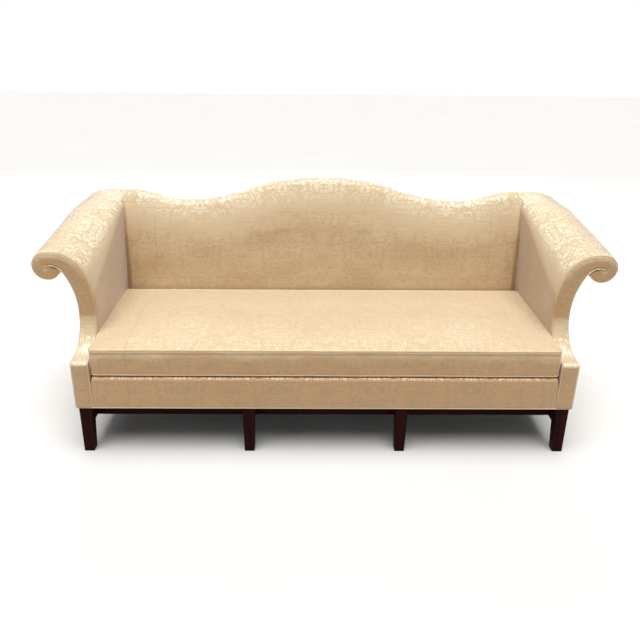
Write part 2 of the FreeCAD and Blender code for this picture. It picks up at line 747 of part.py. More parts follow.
def arm_outline(end):
    """Circles of the arm's outline at its front or rear."""
    first = (size(end + "_flare_radius"), size(end + "_flare_start"))
    flare, turn = size(end + "_flare_radius"), size(end + "_flare_turn")
    top, top_turn = size(end + "_top_radius"), size(end + "_top_turn")
    scroll, neck = size(end + "_scroll_radius"), size("neck_curve_radius")
    joined = turned(first, flare, turn)
    second = turned(joined, -top, turn)
    joined = turned(second, top, top_turn)
    third = turned(joined, -scroll, top_turn)
    hollow = (size("arm_width") + neck, size(end + "_neck_height"))
    gap = math.dist(third, hollow)
    along = (neck**2 - scroll**2 + gap**2) / (2 * gap)
    off = math.sqrt(neck**2 - along**2)
    way = ((third[0] - hollow[0]) / gap, (third[1] - hollow[1]) / gap)
    throat = (
        hollow[0] + along * way[0] - off * way[1],
        hollow[1] + along * way[1] + off * way[0],
    )
    other = (
        hollow[0] + along * way[0] + off * way[1],
        hollow[1] + along * way[1] - off * way[0],
    )
    throat = min(throat, other, key=lambda spot: spot[1])
    end_turn = math.degrees(math.atan2(throat[1] - third[1], third[0] - throat[0])) % 360
    neck_turn = math.degrees(math.atan2(throat[1] - hollow[1], hollow[0] - throat[0]))
    return {
        "arcs": [
            (first, flare, 0, turn),
            (second, top, turn, top_turn),
            (third, scroll, top_turn, (top_turn + end_turn) / 2),
            (third, scroll, (top_turn + end_turn) / 2, end_turn),
        ],
        "throat": throat,
        "end_turn": end_turn,
        "hollow": (hollow, neck, neck_turn),
    }


OUTLINES = {end: arm_outline(end) for end in ("front", "rear")}


def roll_path(end, inset, base):
    """Seat side of the arm from a height up and round the roll to the throat."""
    outline = OUTLINES[end]
    start = (inset, outline["arcs"][0][0][1])
    path = [((inset, base), start)]
    for centre, radius, first, last in outline["arcs"]:
        turns = (first, (first + last) / 2, last)
        path.append(tuple(turned(centre, radius - inset, turn) for turn in turns))
    return path


def side_path(end, inset, base):
    """Outside of the arm from the throat down to a height."""
    centre, radius, neck_turn = OUTLINES[end]["hollow"]
    turns = (neck_turn, neck_turn / 2, 0)
    path = [tuple(turned(centre, radius + inset, turn) for turn in turns)]
    path.append((path[0][-1], (size("arm_width") - inset, base)))
    return path


def throat_path(end, inset):
    """Round the throat, at an inset from the outline."""
    outline = OUTLINES[end]
    throat, centre = outline["throat"], outline["hollow"][0]
    start = outline["end_turn"] + 180
    stop = math.degrees(math.atan2(throat[1] - centre[1], centre[0] - throat[0]))
    stop = start - (start - stop) % 360
    turns = (start, (start + stop) / 2, stop)
    return [tuple(turned(throat, inset, turn) for turn in turns)]


def reverse(path):
    """The same path from its end to its start."""
    return [tuple(piece[::-1]) for piece in path[::-1]]


def along_arm(front_path, rear_path, y):
    """Outline at a depth, on straight lines through the front and rear outlines."""
    front_y, rear_y = size("arm_front_set_back"), size("arm_rear_station")
    share = (y - front_y) / (rear_y - front_y)
    result = []
    for front, rear in zip(front_path, rear_path):
        spots = [(a[0] + (b[0] - a[0]) * share, a[1] + (b[1] - a[1]) * share) for a, b in zip(front, rear)]
        result.append(tuple(spots))
    return result


def edges_of(path, place):
    """Lines and arcs of a path, each spot put in space by place."""
    edges = []
    for piece in path:
        spots = [place(*spot) for spot in piece]
        if len(spots) == 2:
            edges.append(Part.makeLine(*spots))
        else:
            edges.append(Part.Arc(*spots).toShape())
    return edges


def closed_wire(path, place):
    """Closed wire through a path, with straight lines where its pieces don't meet."""
    whole = []
    for piece, following in zip(path, path[1:] + path[:1]):
        whole.append(piece)
        if math.dist(piece[-1], following[0]) > 1e-6:
            whole.append((piece[-1], following[0]))
    return Part.Wire(edges_of(whole, place))


ARM_FROM, ARM_TO = -20, size("base_depth") + 126
ARM_REACH, OVERLAP = 300, 20


def arm_solid(sign, path_of):
    """Ruled solid along the arm; path_of gives its closed path at the front or rear outline."""
    wires = []
    for y in (ARM_FROM, ARM_TO):
        path = along_arm(path_of("front"), path_of("rear"), y)
        wires.append(
            closed_wire(path, lambda u, z: V(sign * (size("inside_width") / 2 + u), y, z))
        )
    return Part.makeLoft(wires, True, True)


def full_path(end, inset, base):
    """Whole outline of the arm at an inset."""
    throat = throat_path(end, inset) if inset else []
    return roll_path(end, inset, base) + throat + side_path(end, inset, base)


def front_path(offset, base, top):
    """Front of the arm seen from its side as (y, z), at an offset behind its face."""
    sweep, corner = size("front_curve_radius"), size("front_corner_radius")
    set_back, bend = size("arm_front_set_back"), size("front_curve_height")
    centre = (set_back - sweep, bend)
    shelf = bend - sweep
    low = centre[0], shelf - offset
    middle = (
        centre[0] + (sweep + offset) * math.sqrt(0.5),
        bend - (sweep + offset) * math.sqrt(0.5),
    )
    high = (set_back + offset, bend)
    if offset < corner:
        small = corner - offset
        knee = (corner, shelf - corner)
        path = [
            ((offset, base), (offset, knee[1])),
            (
                (offset, knee[1]),
                (knee[0] - small * math.sqrt(0.5), knee[1] + small * math.sqrt(0.5)),
                (knee[0], shelf - offset),
            ),
            ((knee[0], shelf - offset), low),
            (low, middle, high),
        ]
    else:
        drop = math.sqrt((sweep + offset) ** 2 - (offset - centre[0]) ** 2)
        path = [((offset, base), (offset, bend - drop)), ((offset, bend - drop), middle, high)]
    return path + [(high, (high[0], top))]


REGION_TOP = 900


def side_region(front_offset, rear_depth, base, sign):
    """Block over an arm, between the front face at an offset and a plane in from the back."""
    path = front_path(front_offset, base, REGION_TOP)
    path.append(((outside_back(REGION_TOP, rear_depth), REGION_TOP), (outside_back(base, rear_depth), base)))
    return extruded_side(path, sign)


def extruded_side(path, sign):
    """Solid over the width of an arm from a closed path of (y, z)."""
    start = sign * (size("inside_width") / 2 - OVERLAP)
    wire = closed_wire(path, lambda y, z: V(start, y, z))
    return Part.Face(wire).extrude(V(sign * ARM_REACH, 0, 0))


def front_strip(front_offset, rear_offset, base, sign):
    """Curved slab that follows the front of the arm between two offsets."""
    path = front_path(front_offset, base, REGION_TOP)
    path += reverse(front_path(rear_offset, base, REGION_TOP))
    return extruded_side(path, sign)


def frame_passage(sign):
    """Room at the rear of an arm through which the rails of the back reach the post."""
    depth = size("post_set_in") + size("post_thickness") + size("strap_sheet") + soft_gap
    low, high = arm_cover_base - 50, size("rear_flare_start") + 5
    path = [
        ((outside_back(low, depth), low), (outside_back(high, depth), high)),
        ((outside_back(high, -OVERLAP), high), (outside_back(low, -OVERLAP), low)),
    ]
    start = sign * (size("inside_width") / 2 - OVERLAP)
    wire = closed_wire(path, lambda y, z: V(start, y, z))
    reach = OVERLAP + size("cloth") + size("soft_gap") + size("arm_padding") + 2
    return Part.Face(wire).extrude(V(sign * reach, 0, 0))


cloth, soft_gap, welt_room = size("cloth"), size("soft_gap"), size("welt_room")
frame_base = size("seat_frame_height")
cover_base = frame_base - 3 + welt_room
arm_cover_base = frame_base + size("rail_height") + 5
pad_inset = cloth + soft_gap
pad_depth = pad_inset + size("arm_padding")
stump_rear = welt_room + size("stump_depth")


def front_prism(sign):
    """Outline of the arm at its front face, drawn in by the piping and run straight back."""
    face_y = size("arm_front_set_back") + soft_gap + cloth / 2
    paths = [full_path(end, welt_room, cover_base - 30) for end in ("front", "rear")]
    path = along_arm(paths[0], paths[1], face_y)
    wire = closed_wire(path, lambda u, z: V(sign * (size("inside_width") / 2 + u), ARM_FROM, z))
    return Part.Face(wire).extrude(V(0, ARM_REACH, 0))


def band_path(end, outer, inner, base):
    """Closed band round the roll of the arm between two insets."""
    return roll_path(end, outer, base) + reverse(roll_path(end, inner, base))


def side_band_path(end, outer, inner, base):
    """Closed band down the outside of the arm between two insets."""
    return side_path(end, outer, base) + reverse(side_path(end, inner, base))


for side, sign in sides.items():
    stump = arm_solid(sign, lambda end: full_path(end, welt_room, frame_base - 30))
    stump = stump.common(front_strip(welt_room, stump_rear, frame_base, sign))
    fitted(
        "arm_stump_" + side,
        solid("stump_stock_" + side, stump),
        ["front_rail_" + side, "side_rail_front_" + side, "front_leg_outer_" + side]
        + ["arm_board_front_" + side],
    )
    facing = front_prism(sign).common(front_strip(soft_gap, soft_gap + cloth, cover_base, sign))
    finish(solid("facing_" + side, facing), "arm_facing_" + side)
    passage = frame_passage(sign)
    inside = arm_solid(sign, lambda end: band_path(end, 0, cloth, arm_cover_base))
    inside = inside.common(side_region(welt_room, soft_gap + cloth, 0, sign)).cut(passage)
    finish(solid("inside_cover_" + side, inside), "inside_arm_cover_" + side)
    outside = arm_solid(sign, lambda end: side_band_path(end, 0, cloth, cover_base))
    outside = outside.common(side_region(welt_room, soft_gap + cloth, 0, sign))
    finish(solid("outside_cover_" + side, outside), "outside_arm_cover_" + side)
    padding = arm_solid(sign, lambda end: band_path(end, pad_inset, pad_depth, arm_cover_base))
    region = side_region(stump_rear + soft_gap, soft_gap + cloth, 0, sign)
    padding = padding.common(region).cut(passage)
    finish(solid("padding_" + side, padding), "arm_pad_" + side)
    board_front = (size("board_front_place"), size("board_front_height"))
    board_rear = (size("board_rear_place"), size("board_rear_height"))
    rectangles = []
    for (u, z), y in (
        (board_front, size("arm_front_set_back") + stump_rear),
        (board_rear, outside_back(board_rear[1], 0)),
    ):
        half_board, half_sheet = size("board_width") / 2, size("board_thickness") / 2
        corners = [(-1, -1), (1, -1), (1, 1), (-1, 1), (-1, -1)]
        rectangles.append(
            Part.makePolygon(
                [
                    V(sign * (size("inside_width") / 2 + u + i * half_board), y, z + k * half_sheet)
                    for i, k in corners
                ]
            )
        )
    board = Part.makeLoft(rectangles, True, True)
    board = board.common(side_region(stump_rear, size("post_set_in") + size("post_thickness"), 0, sign))
    names = ["arm_board_front_" + side, "arm_board_rear_" + side]
    fitted("arm_board_" + side, solid("board_stock_" + side, board), names)


def cord_along(edges, closed=False):
    """Round cord along lines and arcs that meet smoothly."""
    wire = Part.Wire(edges)
    start = edges[0].FirstParameter
    spot, way = edges[0].valueAt(start), edges[0].tangentAt(start)
    ring = Part.Wire(Part.makeCircle(size("welt_radius"), spot, way))
    return wire.makePipeShell([ring], True, False)


# Piping of the arm fronts: up the seat side, round the roll and down the outside
welt_in = size("welt_radius") + 0.2
welt_parts = []
for side, sign in sides.items():
    half_inside = size("inside_width") / 2
    near = half_inside + welt_in
    far = half_inside + size("arm_width") - welt_in
    front = front_path(welt_in, cover_base, size("front_flare_start"))
    face_y = size("arm_front_set_back") + welt_in
    flare = [
        along_arm(roll_path("front", welt_in, 0), roll_path("rear", welt_in, 0), face_y),
        along_arm(throat_path("front", welt_in), throat_path("rear", welt_in), face_y),
        along_arm(side_path("front", welt_in, 0), side_path("rear", welt_in, 0), face_y),
    ]
    start_z = flare[0][0][1][1]
    neck_z = flare[2][0][-1][1]
    climb = front[:-1] + [(front[-1][0], (face_y, start_z))]
    fall = reverse(front[:-1] + [(front[-1][0], (face_y, neck_z))])
    over = flare[0][1:] + flare[1] + [flare[2][0]]
    edges = edges_of(climb, lambda y, z: V(sign * near, y, z))
    edges += edges_of(over, lambda u, z: V(sign * (half_inside + u), face_y, z))
    edges += edges_of(fall, lambda y, z: V(sign * far, y, z))
    welt_parts.append(solid("arm_welt_" + side, cord_along(edges)))
finish(group("arm_welt_group", welt_parts), "arm_piping")


def plan_path(x, front, rear, radius):
    """Rectangle with round corners in plan, as (x, y), from the middle of its front."""
    k = radius * (1 - math.sqrt(0.5))
    return [
        ((0, front), (x - radius, front)),
        ((x - radius, front), (x - k, front + k), (x, front + radius)),
        ((x, front + radius), (x, rear - radius)),
        ((x, rear - radius), (x - k, rear - k), (x - radius, rear)),
        ((x - radius, rear), (radius - x, rear)),
        ((radius - x, rear), (k - x, rear - k), (-x, rear - radius)),
        ((-x, rear - radius), (-x, front + radius)),
        ((-x, front + radius), (k - x, front + k), (radius - x, front)),
        ((radius - x, front), (0, front)),
    ]


half_inside = size("inside_width") / 2
base_half = half_inside + size("arm_width")
base_rear = outside_back(frame_base)
base_path = plan_path(base_half - welt_in, welt_in, base_rear - welt_in, size("base_corner"))
edges = edges_of(base_path, lambda x, y: V(x, y, frame_base + 0.2))
finish(solid("base_welt", cord_along(edges, True)), "base_piping")


def along_seat(path, half_width):
    """Solid across the seat from a closed path of (y, z)."""
    wire = closed_wire(path, lambda y, z: V(-half_width, y, z))
    return Part.Face(wire).extrude(V(2 * half_width, 0, 0))


def quarter(centre, radius):
    """Arc from the front of a circle to its top."""
    k = radius * math.sqrt(0.5)
    return (
        (centre[0] - radius, centre[1]),
        (centre[0] - k, centre[1] + k),
        (centre[0], centre[1] + radius),
    )


# Border cloth: up the front of the seat, over the edge roll and back to the deck cover
deck_top = size("deck_height")
bend = size("border_curve")
seat_half = half_inside - soft_gap
knee = (bend, deck_top - bend)
back_seam = size("border_return")
outer = [((0, cover_base), (0, knee[1])), quarter(knee, bend), ((bend, deck_top), (back_seam, deck_top))]
inner = [
    ((cloth, cover_base), (cloth, knee[1])),
    quarter(knee, bend - cloth),
    ((bend, deck_top - cloth), (back_seam, deck_top - cloth)),
]
finish(solid("border", along_seat(outer + reverse(inner), seat_half)), "front_border")

# Edge roll on top of the front rail
rail_top = frame_base + size("rail_height")
roll_in = cloth + soft_gap
roll = quarter(knee, bend - roll_in)
roll_rear = size("edge_roll_depth")
path = [
    ((roll_in, rail_top), (roll_in, knee[1])),
    roll,
    ((bend, deck_top - roll_in), (roll_rear, deck_top - roll_in)),
    ((roll_rear, deck_top - roll_in), (roll_rear, deck_top - roll_in - 14)),
    ((roll_rear, deck_top - roll_in - 14), (size("front_padding") + 1, rail_top)),
]
finish(solid("edge_roll", along_seat(path, seat_half)), "front_edge_roll")

# Springs: flat zigzags of wire from the front rail to the back rail, held by clips
spring_level = rail_top + size("clip_sheet") + size("spring_wire") / 2
spring_start = size("front_padding") + size("rail_thickness") / 2 + 4


def zigzag():
    """One zigzag spring, running back from the front rail."""
    pitch, reach = size("spring_pitch"), size("spring_width") / 2
    bow = pitch / 2
    straight = reach - bow
    edges = []
    for turn in range(int(size("spring_turns"))):
        y = turn * pitch
        way = 1 if turn % 2 == 0 else -1
        edges.append(Part.makeLine(V(-way * straight, y, 0), V(way * straight, y, 0)))
        if turn < size("spring_turns") - 1:
            bend_arc = Part.Arc(
                V(way * straight, y, 0), V(way * reach, y + bow, 0), V(way * straight, y + pitch, 0)
            )
            edges.append(bend_arc.toShape())
    ring = Part.Wire(Part.makeCircle(size("spring_wire") / 2, V(-straight, 0, 0), V(1, 0, 0)))
    return Part.Wire(edges).makePipeShell([ring], True, False)


def clip(way):
    """Clip round the first or last run of a spring, open towards the spring."""
    sheet_gap, width = size("clip_sheet"), size("clip_width")
    wire = size("spring_wire")
    low, high = -wire / 2 - sheet_gap, wire / 2 + sheet_gap + 0.1
    rear = wire / 2 + 4
    front = -wire / 2 - 0.2
    path = [
        ((front - sheet_gap, low), (rear, low)),
        ((rear, low + sheet_gap), (front, low + sheet_gap)),
        ((front, high - sheet_gap), (rear, high - sheet_gap)),
        ((rear, high), (front - sheet_gap, high)),
    ]
    wire_loop = closed_wire(path, lambda y, z: V(-width / 2, way * y, z))
    return Part.Face(wire_loop).extrude(V(width, 0, 0))


spring = zigzag()
spring_parts, clip_parts = [], []
spring_length = (size("spring_turns") - 1) * size("spring_pitch")
count = int(size("spring_count"))
for index in range(count):
    x = (index - (count - 1) / 2) * size("spring_spacing")
    place = V(x, spring_start, spring_level)
    spring_parts.append(solid("spring_%d" % index, spring.translated(place)))
    for way, y in ((1, 0), (-1, spring_length)):
        clip_parts.append(solid("clip_%d_%d" % (index, way), clip(way).translated(place + V(0, y, 0))))
finish(group("spring_group", spring_parts), "seat_springs")
finish(group("clip_group", clip_parts), "spring_clips")

# Deck: hessian over the springs, a pad of felt and the deck cover
hessian_base = spring_level + size("spring_wire") / 2 + size("clip_sheet") + 0.1
hessian = size("hessian")
deck_rear = size("deck_depth")
deck_front = roll_rear + soft_gap
levels = [
    ("seat_hessian", deck_front, hessian_base, hessian_base + hessian),
    ("seat_deck_pad", deck_front, hessian_base + hessian, deck_top - cloth - soft_gap),
]
for label, front, low, high in levels:
    path = [((front, low), (deck_rear, low)), ((deck_rear, high), (front, high))]
    finish(solid(label + "_stock", along_seat(path, seat_half)), label)
path = [
    ((back_seam, deck_top - cloth), (deck_rear, deck_top - cloth)),
    ((deck_rear, deck_top), (back_seam, deck_top)),
]
finish(solid("deck_cover_stock", along_seat(path, seat_half)), "seat_deck_cover")


# Seat cushion
low_seam, high_seam = size("cushion_low_seam"), size("cushion_high_seam")
cushion_front = size("cushion_front")
cushion_rear = cushion_front + size("cushion_depth")
cushion_half = half_inside - size("cushion_side_gap")
under_cushion, over_cushion = deck_top - 11, high_seam + 85


def cushion_section(x, crown, bulge, inset):
    """Front to back section of the cushion at x, as a closed wire."""
    front, rear = cushion_front + inset, cushion_rear - inset
    low, high = low_seam, high_seam
    middle_y = (front + rear) / 2
    middle_z = (low + high) / 2
    floor = deck_top + soft_gap + inset
    belly = size("cushion_belly")
    path = [
        ((front, low), (front - bulge, middle_z), (front, high)),
        ((front, high), (middle_y, high + crown - inset), (rear, high)),
        ((rear, high), (rear + bulge / 2, middle_z), (rear, low)),
        ((rear, low), (rear - belly / 2, floor + (low - floor) * 0.25), (rear - belly, floor)),
        ((rear - belly, floor), (front + belly, floor)),
        ((front + belly, floor), (front + belly / 2, floor + (low - floor) * 0.25), (front, low)),
    ]
    return closed_wire(path, lambda y, z: V(x, y, z))


def cushion_body(inset):
    """The cushion's outer form, or one drawn in by an inset."""
    half = cushion_half - inset
    crown, end_crown = size("cushion_crown"), size("cushion_end_crown")
    bulge = size("cushion_bulge")
    shares = ((-1, end_crown, 0.4), (-0.9, 0.6 * crown, 1), (-0.5, crown, 1))
    sections = []
    for share, rise, swell in shares + tuple((-a, b, c) for a, b, c in shares[::-1]):
        sections.append(cushion_section(share * half, rise, bulge * swell, inset))
    body = Part.makeLoft(sections, True, False)
    corner = size("cushion_corner") - inset
    front, rear = cushion_front - bulge + inset, cushion_rear + bulge - inset
    return body.common(plan_prism(half, front, rear, corner, under_cushion, over_cushion))


def plan_prism(half, front, rear, radius, low, high):
    """Upright block with round corners in plan."""
    wire = Part.Wire(edges_of(plan_path(half, front, rear, radius), lambda x, y: V(x, y, low)))
    return Part.Face(wire).extrude(V(0, 0, high - low))


outer_form = cushion_body(0)
inner_form = cushion_body(cloth)
shell = outer_form.cut(inner_form)
welt_gap = welt_room - welt_in
inside_welt = plan_prism(
    cushion_half - welt_room,
    cushion_front + welt_room,
    cushion_rear - welt_room,
    size("cushion_corner") + welt_in - welt_room,
    under_cushion,
    over_cushion,
)


def level_slab(low, high):
    """Everything between two heights, wider than the cushion."""
    slab = Part.makeBox(2 * base_half, size("base_depth") + 2 * OVERLAP, high - low)
    return slab.translated(V(-base_half, -OVERLAP, low))


boxing = shell.common(level_slab(low_seam + welt_gap, high_seam - welt_gap))
top_slab = level_slab(high_seam - welt_gap, over_cushion)
bottom_slab = level_slab(under_cushion, low_seam + welt_gap)
top_panel = shell.common(inside_welt).common(top_slab)
bottom_panel = shell.common(inside_welt).common(bottom_slab)
core = cushion_body(cloth + soft_gap).common(inside_welt)

# The closure is let into the rear of the boxing
zipper_low = (low_seam + high_seam - size("zipper_height")) / 2
zipper_room = Part.makeBox(
    size("zipper_length"),
    40,
    size("zipper_height"),
    V(-size("zipper_length") / 2, cushion_rear - cloth - 1, zipper_low),
)
zipper = Part.makeBox(
    size("zipper_length") - 0.4,
    size("zipper_sheet"),
    size("zipper_height") - 0.4,
    V(
        -size("zipper_length") / 2 + 0.2,
        cushion_rear + size("cushion_bulge") / 2 - size("zipper_sheet") - 0.2,
        zipper_low + 0.2,
    ),
)
boxing = boxing.cut(zipper_room)
core = core.cut(zipper_room)
finish(solid("cushion_core_stock", core), "cushion_core")
finish(solid("cushion_top_stock", top_panel), "cushion_top_panel")
finish(solid("cushion_bottom_stock", bottom_panel), "cushion_bottom_panel")
finish(solid("cushion_boxing_stock", boxing), "cushion_boxing")
finish(solid("cushion_zipper_stock", zipper), "cushion_zipper")
welts = []
for seam in (low_seam, high_seam):
    path = plan_path(
        cushion_half - welt_in, cushion_front + welt_in, cushion_rear - welt_in, size("cushion_corner")
    )
    welts.append(solid("welt_%d" % seam, cord_along(edges_of(path, lambda x, y: V(x, y, seam)), True)))
finish(group("cushion_welts", welts), "cushion_piping")


# Back upholstery. A section is given as (y, z) at one place along the crest.
def back_lines(x, inset):
    """Parts of the back's front-to-back section: inside line, bow, roll and its end."""
    lean = RAKE_ANGLE
    up = (math.sin(lean), math.cos(lean))
    back = (math.cos(lean), -math.sin(lean))
    roll, bow = size("crest_roll"), size("back_bow")
    roll_centre_z = crest_at(x) - roll
    roll_centre = (outside_back(roll_centre_z, roll), roll_centre_z)
    start = (outside_back(back_base, size("back_thickness")), back_base)
    along = (roll_centre[0] - start[0]) * up[0] + (roll_centre[1] - start[1]) * up[1]
    across = (roll_centre[0] - start[0]) * back[0] + (roll_centre[1] - start[1]) * back[1]
    bend_at = along - math.sqrt((bow - roll) ** 2 - (bow - across) ** 2)

    def spot(run, depth):
        return (start[0] + up[0] * run + back[0] * depth, start[1] + up[1] * run + back[1] * depth)

    bow_centre = spot(bend_at, bow)
    reach = math.dist(bow_centre, roll_centre)
    toward = math.degrees(
        math.atan2(roll_centre[1] - bow_centre[1], bow_centre[0] - roll_centre[0])
    )
    foot = (outside_back(back_base, size("back_thickness") - inset), back_base)
    first, last = size("back_rake"), 180 + size("back_rake")
    bow_turns = (first, (first + toward) / 2, toward)
    roll_turns = (toward, (toward + last) / 2, last)
    bend_arc = tuple(turned(bow_centre, bow - inset, turn) for turn in bow_turns)
    roll_arc = tuple(turned(roll_centre, roll - inset, turn) for turn in roll_turns)
    return [(foot, bend_arc[0]), bend_arc, roll_arc]


back_base = hessian_base + hessian + 4


def back_solid(path_of):
    """Smooth solid through sections of the back at places along the crest."""
    wires = []
    half_width = half_inside - soft_gap
    places = int(size("crest_places"))
    for index in range(-places, places + 1):
        x = half_width * index / places
        wires.append(closed_wire(path_of(x), lambda y, z: V(x, y, z)))
    return Part.makeLoft(wires, True, False)


def cover_section(x):
    return back_lines(x, 0) + reverse(back_lines(x, cloth))


frame_depth = size("post_set_in") + size("post_thickness") + size("strap_sheet") + soft_gap


def padding_section(x):
    path = back_lines(x, pad_inset)
    roof = crest_at(x) - size("crest_padding") + size("crest_play")
    shelf = path[-1][-1][1]
    spare = size("post_set_in") - 2 * soft_gap
    path.append((path[-1][-1], (outside_back(shelf, spare), shelf)))
    path.append(((outside_back(shelf, spare), shelf), (outside_back(roof, spare), roof)))
    path.append(((outside_back(roof, spare), roof), (outside_back(roof, frame_depth), roof)))
    path.append(((outside_back(roof, frame_depth), roof), (outside_back(back_base, frame_depth), back_base)))
    return path


finish(solid("back_cover_stock", back_solid(cover_section)), "inside_back_cover")
finish(solid("back_pad_stock", back_solid(padding_section)), "back_pad")


# Outside back: one panel over the frame, with the crest and the arm rolls in its outline
def outside_back_panel():
    drop = size("crest_roll") * (1 + math.sin(RAKE_ANGLE)) + 6 * soft_gap
    start = size("base_depth") - ARM_REACH / 2
    edges = crest_edges(lambda x, height: V(x, start, height - drop))
    corners = [V(half_inside, start, cover_base), V(-half_inside, start, cover_base)]
    middle = closed_face(edges, corners).extrude(V(0, ARM_REACH + 100, 0))
    path = [
        ((outside_back(0, 0), 0), (outside_back(REGION_TOP, 0), REGION_TOP)),
        ((outside_back(REGION_TOP, cloth), REGION_TOP), (outside_back(0, cloth), 0)),
    ]
    slab = along_seat(path, base_half + ARM_REACH)
    panel = middle.common(slab)
    for sign in sides.values():
        end_piece = arm_solid(sign, lambda end: full_path(end, 0, cover_base))
        panel = panel.fuse(end_piece.common(slab))
    return panel.removeSplitter()


finish(solid("outside_back_stock", outside_back_panel()), "outside_back_cover")

# Webbing up the back, from the low rail to the crest rail
strap_parts = []
count = int(size("strap_count"))
for index in range(count):
    place = "(%d * strap_spacing / 2)" % (2 * index - count + 1)
    strap_base = "(tack_rail_base + 6)"
    strap_parts.append(
        box(
            "strap_%d" % index,
            (
                place + " - strap_width / 2",
                raked(POST_FRONT + " + strap_sheet", strap_base),
                strap_base,
            ),
            ("strap_width", "strap_sheet", "(crest_rail_base + 30 - tack_rail_base) / cos(back_rake)"),
            raked=True,
        )
    )
finish(group("strap_group", strap_parts), "back_webbing")

# Dust cloth under the seat, cut round the legs
dust_in = "(2 * welt_radius + 1)"
dust = box(
    "dust_stock",
    ("-" + OUTSIDE + " + " + dust_in, dust_in, "seat_frame_height - dust_cloth"),
    (
        "2 * (%s - %s)" % (OUTSIDE, dust_in),
        "base_depth - 2 * %s - dust_cloth" % dust_in,
        "dust_cloth",
    ),
)
leg_rooms = []
for sign in sides.values():
    outer_x = "%d * (inside_width / 2 + arm_width - leg_inset - leg_top / 2)" % sign
    for middle in (outer_x, "%d * inner_leg_place" % sign):
        for front_y in ("leg_set_back", "(base_depth - rear_leg_set_in - leg_top)"):
            leg_rooms.append(
                box(
                    "leg_room",
                    (
                        middle + " - leg_top / 2 - joint_clearance * 10",
                        front_y + " - joint_clearance * 10",
                        "seat_frame_height - 2 * dust_cloth",
                    ),
                    ("leg_top + joint_clearance * 20", "leg_top + joint_clearance * 20", "3 * dust_cloth"),
                )
            )
fitted("dust_cover", dust, [], leg_rooms)

# Dowels, bolts and screws
for label, kinds in (("frame_dowels", ["dowel"]), ("frame_screws", ["bolt", "screw"])):
    names = [name for name, pins in joints.items() if pins[0][0] in kinds]
    finish(group(label + "_group", pins_of(names)), label)

doc.recompute()
for target in doc.Objects:
    if "Invalid" in target.State or "Error" in target.State:
        raise RuntimeError("%s failed: %s" % (target.Label, target.State))
os.makedirs("parts", exist_ok=True)
for target in nodes:
    shape = target.Shape
    if shape.isNull() or not shape.isValid():
        raise RuntimeError("%s has a bad shape" % target.Label)
for target in nodes:
    shape = target.Shape
    print("%-28s %3d solids %10.1f cm3" % (target.Label, len(shape.Solids), shape.Volume / 1000))
    shape.exportStep("parts/%s.step" % target.Label)
print(len(nodes), "pieces")
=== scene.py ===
import json
import math

import bmesh
import bpy
from bpy.props import FloatProperty, FloatVectorProperty, PointerProperty
from mathutils import Matrix, Vector, noise


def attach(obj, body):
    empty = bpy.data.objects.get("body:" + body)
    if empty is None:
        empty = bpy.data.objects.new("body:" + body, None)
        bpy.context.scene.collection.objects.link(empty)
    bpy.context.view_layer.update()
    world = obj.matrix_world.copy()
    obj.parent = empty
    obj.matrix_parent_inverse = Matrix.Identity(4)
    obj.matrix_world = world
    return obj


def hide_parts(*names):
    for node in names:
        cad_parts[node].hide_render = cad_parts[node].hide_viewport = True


# The finished camelback sofa. Everything is in metres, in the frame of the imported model:
# X along the seat, Y from front to back, Z up, the origin on the floor under the middle.

bl_info = {
    "name": "Camelback sofa",
    "version": (1, 0, 0),
    "blender": (4, 5, 0),
    "location": "View3D > Sidebar > Sofa",
    "description": "Upholsters and finishes a camelback sofa on its packed frame",
    "category": "Add Mesh",
}

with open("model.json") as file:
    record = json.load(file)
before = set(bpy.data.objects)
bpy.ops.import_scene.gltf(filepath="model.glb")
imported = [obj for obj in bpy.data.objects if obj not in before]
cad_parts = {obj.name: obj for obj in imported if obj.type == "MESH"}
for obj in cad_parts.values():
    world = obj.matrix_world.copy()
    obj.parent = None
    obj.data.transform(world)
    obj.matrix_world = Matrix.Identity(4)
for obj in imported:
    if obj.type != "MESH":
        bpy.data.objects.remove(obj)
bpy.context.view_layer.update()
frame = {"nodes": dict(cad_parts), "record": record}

SIDES = {"left": -1, "right": 1}

# Main sizes of the frame, which the cloth follows
HALF_SEAT = 0.830
ARM_WIDTH = 0.063
BASE_HALF = HALF_SEAT + ARM_WIDTH
SEAT_FRAME = 0.188
BASE_DEPTH = 0.664
RAKE = math.radians(7.6)
BACK_THICKNESS = 0.106
CREST = 0.866
DIP = 0.772
DIP_PLACE = 0.565
CREST_END = 0.814
CREST_ROLL = 0.038
BACK_BOW = 0.470
DECK = 0.311
FRONT = -(BASE_DEPTH + (CREST - CREST_ROLL - SEAT_FRAME) * math.tan(RAKE)
          - CREST_ROLL / math.cos(RAKE) + CREST_ROLL) / 2

# Parts of the crest's two waves that curve one way, from the middle outwards
HUMP_PART, INNER_DIP_PART = 0.585, 0.415
OUTER_DIP_PART, SHOULDER_PART = 0.435, 0.565

# The front of an arm seen from its side: a corner, a shelf, a sweep and the straight
ARM_SET_BACK = 0.155
ARM_REAR = 0.700
ARM_BEND = 0.490
ARM_SWEEP = 0.122
ARM_CORNER = 0.012
SHELF = ARM_BEND - ARM_SWEEP
SWEEP_CENTRE = ARM_SET_BACK - ARM_SWEEP

# The cushion and the piping
LOW_SEAM, HIGH_SEAM = 0.319, 0.415
CUSHION_FRONT, CUSHION_DEPTH = 0.004, 0.568
CUSHION_HALF = HALF_SEAT - 0.0006
CUSHION_CORNER = 0.014
SAME_LEVEL = 1e-5
PRESS_FRAMES = 20
PRESS_CAP = 0.006
WELT_RADIUS = 0.003
WELT_IN = 0.0032
WELT_ROOM = 0.0069

